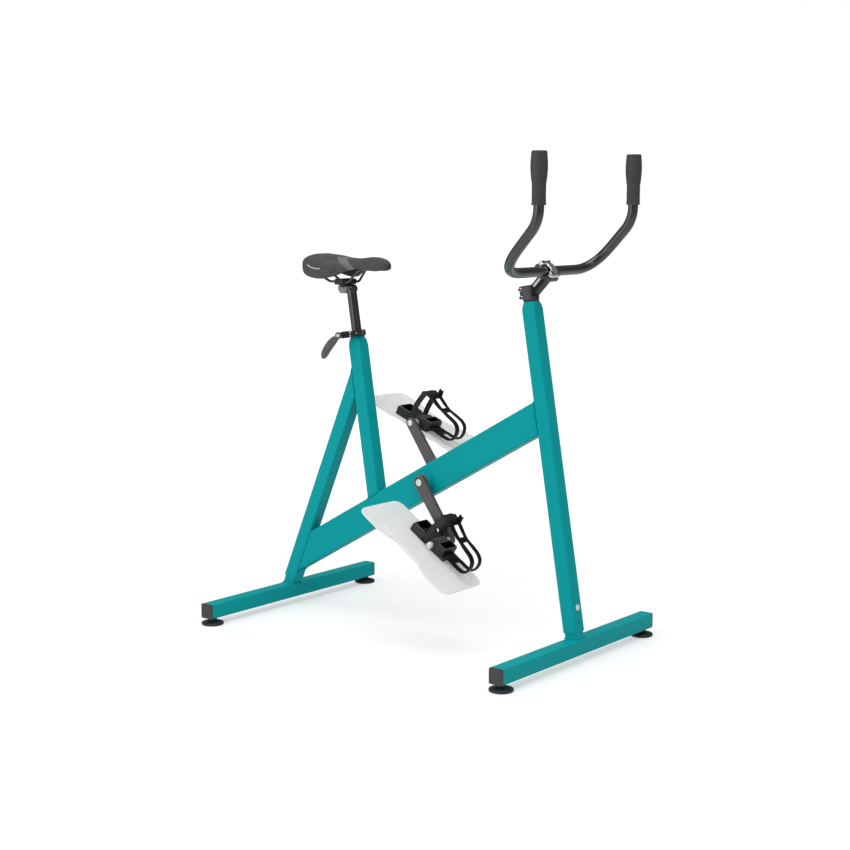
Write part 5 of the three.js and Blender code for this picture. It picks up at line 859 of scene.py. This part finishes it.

# %% [markdown]
# ## Pedal hardware
# The pedal's body comes from the CAD. Its small parts are made here: four bright screws, a domed cap nut on
# the axle's end, ridges that keep the shoe from slipping, and a rolled rim round each open cell. The ridges
# and rims are black plastic, drawn in the lever's grey as painted highlights along them.

# %% Pedals: screws, cap nuts, and ridges and rims with painted highlights
NUT = turned(softened([(0, 0), (9, 0), (9, 7), (6.8, 12), (3.4, 12.6), (3.4, 10), (0, 10)], 1.5, 4), 32, True)
CELLS = ((-74.7, -34.3, 11.2), (15.3, 39.7, 18.2))  # rear, front and height of each cell's rim
for hand, (side, frame_of) in PEDALS.items():
    body = "pedal_" + hand
    screws = [placed(screw_head(3.4, 3) + (u, side * y, w), **frame_of)
              for u, w in ((-56, -6.4), (27.5, 0.2)) for y in (83, 106)]
    piece("pedal_screws_" + hand, screws, body, steel)
    low, high = sorted((side * 72, side * 117))
    # The ridges are black plastic, drawn in the lever's grey: a painted highlight along each
    lit_ridges = [placed(rod_across(u, low, high, 14, 1.3), **frame_of) for u in (-4, 2, 8)]
    nut = piece("axle_cap_" + hand, placed(NUT * (1, side, 1) + (0, side * 121.4, 0), **frame_of),
                "crankset", zinc)
    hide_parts("axle_nut_" + hand)
    piece("pedal_ridge_highlights_" + hand, lit_ridges, body, lever_grey)
    # The rims round the cells are black plastic, drawn in the lever's grey: a painted highlight along the
    # cells' edges
    rim_highlights = []
    for rear, front, height in CELLS:
        loop = rounded_box(rear, front, 70.3, 118.7, 4, 6)
        rim_line = np.c_[loop * (1, side), np.full(len(loop), height)]
        rim_highlights.append(placed(rings(rim_line, 1.0, (0, 0, 1), 10, loop=True), **frame_of))
    piece("pedal_rim_highlights_" + hand, rim_highlights, body, lever_grey, closed_rows=True)

# %% [markdown]
# ## Cranks
# A crank is a forged arm between two round ends, its edges rolled, with a thin raised panel along it. Round
# its bolt lies a dark ring: painted shade, for the shadow in the bolt's recess. The outline is the hull of
# the two circles: each end is an arc, and straight sides join them.

# %% Cranks
def arm_outline(top_radius, low_radius, top, low):
    """Two arcs: round (0, top) from -a to 180° + a, and round (0, low) back again. The sides touch both
    circles where sin a = (top radius - low radius) / distance."""
    a = np.arcsin((top_radius - low_radius) / (top - low))
    q = np.linspace(-a, np.pi + a, 26)
    upper = np.c_[top_radius * np.cos(q), top + top_radius * np.sin(q)]
    q = np.linspace(np.pi + a, 2 * np.pi - a, 26)
    return np.concatenate([upper, np.c_[low_radius * np.cos(q), low + low_radius * np.sin(q)]])


CRANK_LENGTH = 172.5
ARM_OUTLINE, PANEL_OUTLINE = arm_outline(17, 14, 0, -CRANK_LENGTH), arm_outline(10, 8, -27, -148)
# A low dark ring round the crank bolt: painted shadow of the bolt's recess
BOLT_SHADOW_RING = turned([(10.9, 0), (12.9, 0), (12.9, 0.4), (11.9, 0.9), (10.9, 0.4)], 40, True)
BOLT = turned(softened([(0, 0), (9.8, 0), (9.8, 1), (7.6, 2.6), (4.2, 2.8), (4.2, 1), (0, 1)], 0.6), 36, True)
AXLE_END = turned([(0, 0), (8.4, 0), (8.2, 1), (6.6, 2.4), (3.8, 3.2), (0, 3.4)], 32, True)
for hand, lean in (("right", -35.2), ("left", 144.8)):
    side = HANDS[hand]
    hub = dict(BEAM, lean=lean)
    arm = placed(plate(ARM_OUTLINE, *sorted((side * 35.9, side * 49.3)), 2, 5, flat="y"), **hub)
    crank = piece("crank_arm_" + hand, arm, "crankset", dark_alloy)
    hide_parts("crank_" + hand)
    panel = placed(plate(PANEL_OUTLINE, *sorted((side * 48, side * 49.6)), 0.4, flat="y"), **hub)
    piece("crank_panel_" + hand, panel, "crankset", dark_alloy)
    # The ring round the bolt is in the stem's black: painted shadow of the bolt's recess
    ring = placed(BOLT_SHADOW_RING * (1, side, 1) + (0, side * 49.1, 0), **hub)
    piece("crank_bolt_shadow_ring_" + hand, ring, "crankset", stem_black, closed_rows=True)
    bolts = [placed(BOLT * (1, side, 1) + (0, side * 48.9, 0), **hub),
             placed(AXLE_END * (1, -side, 1) + (0, side * 36, -CRANK_LENGTH), **hub)]
    piece("crank_bolts_" + hand, bolts, "crankset", zinc)

# %% [markdown]
# ## Weld beads
# Where a tube ends on a neighbour, the welder lays a bead round it. The bead follows the tube's outline
# where it meets the other tube's face: along the tube's axis, each outline point goes as far as that plane.
# The bead's radius swells a little at each ripple.

# %% Weld beads
# Half widths of the 40 mm tube, of the beam's taller side and of the spigots
TUBE, TALL, SPIGOT = 20, 40, 18
OUTSIDE = 0.4  # from a tube's face to the middle of its bead


def bead(half_x, half_y, corner, tube, point, normal):
    """The outline (x, y) of a tube, cut by the plane through Q with normal N: a point P goes along the tube's
    direction D by -(P - Q)·N / D·N. A circle of radius 1.7 + 0.25 sin(2 pi s / 5.5), s the length along the
    outline, is carried round that line."""
    x, y = half_x + OUTSIDE, half_y + OUTSIDE
    flat, s = spaced(rounded_box(-x, x, -y, y, corner, 6), 200)
    base, on = (placed(np.c_[flat, np.full(len(flat), z)], **tube) * 1000 for z in (0.0, 1.0))
    step = on - base
    reach = -((base - point) @ normal) / (step @ normal)
    line = base + step * reach[:, None]
    radius = 1.7 + 0.25 * np.sin(2 * np.pi * s / 5.5)
    return rings(line, radius, normal, 12, loop=True) / 1000


def face_of(tube, half):
    """A point on a tube's face, half its width from its middle line, and the normal (cos a, 0, -sin a)."""
    a = np.radians(tube["lean"])
    normal = np.array([np.cos(a), 0, -np.sin(a)])
    return np.array([tube["x"], 0, tube["z"]]) + normal * half, normal


FOOT_TOP = (0, 0, 59.3), (0, 0, 1)
welds = [
    bead(SPIGOT, SPIGOT, 3, BRACE, *FOOT_TOP),
    bead(SPIGOT, SPIGOT, 3, POST, *FOOT_TOP),
    bead(TUBE, TUBE, 4, SEAT, *face_of(BEAM, -TALL)),
    bead(TUBE, TUBE, 4, BRACE, *face_of(SEAT, -TUBE)),
    bead(TALL, TUBE, 4, BEAM, *face_of(POST, -TUBE)),
    bead(TALL, TUBE, 4, BEAM, *face_of(BRACE, TUBE)),
]
q = angles(120)
for side in HANDS.values():
    hoop = np.stack([BEAM["x"] + 24.6 * np.cos(q), 0 * q + side * (TUBE + OUTSIDE),
                     BEAM["z"] + 24.6 * np.sin(q)], 1)
    welds.append(rings(hoop, 1.6 + 0.2 * np.sin(28 * q), (0, 1, 0), 12, loop=True) / 1000)
beads = piece("weld_beads", welds, "frame", teal, closed_rows=True)

# %% [markdown]
# ## Floor
# The floor is large and plain. It is part of the stage, not of the bike.

# %% Floor
floor_mesh = bpy.data.meshes.new("floor")
floor_mesh.from_pydata([(-30, -30, 0), (30, -30, 0), (30, 30, 0), (-30, 30, 0)], [], [(0, 1, 2, 3)])
floor = shown("floor", floor_mesh)
white = bpy.data.materials.new("floor_white")
white.use_nodes = True
tree = white.node_tree
shader = tree.nodes["Principled BSDF"]
shader.inputs["Base Color"].default_value = (0.8, 0.8, 0.8, 1)
shader.inputs["Roughness"].default_value = 0.25
glow, added = new_node(tree, "Emission"), new_node(tree, "AddShader")
rays, where = new_node(tree, "LightPath"), new_node(tree, "TexCoord")
gain = new_node(tree, "Math", dict(operation="MULTIPLY"))
away = new_node(tree, "VectorMath", dict(operation="LENGTH"))
rise = new_node(tree, "MapRange", From_Min=0.7, From_Max=3.5, To_Min=0.4, To_Max=0.8)
joined(tree, (where, "Object", away, 0), (away, "Value", rise, "Value"), (rise, "Result", gain, 1),
       (rays, "Is Camera Ray", gain, 0), (gain, 0, glow, "Strength"), (shader, "BSDF", added, 0),
       (glow, "Emission", added, 1), (added, "Shader", tree.nodes["Material Output"], "Surface"))
floor_mesh.materials.append(white)
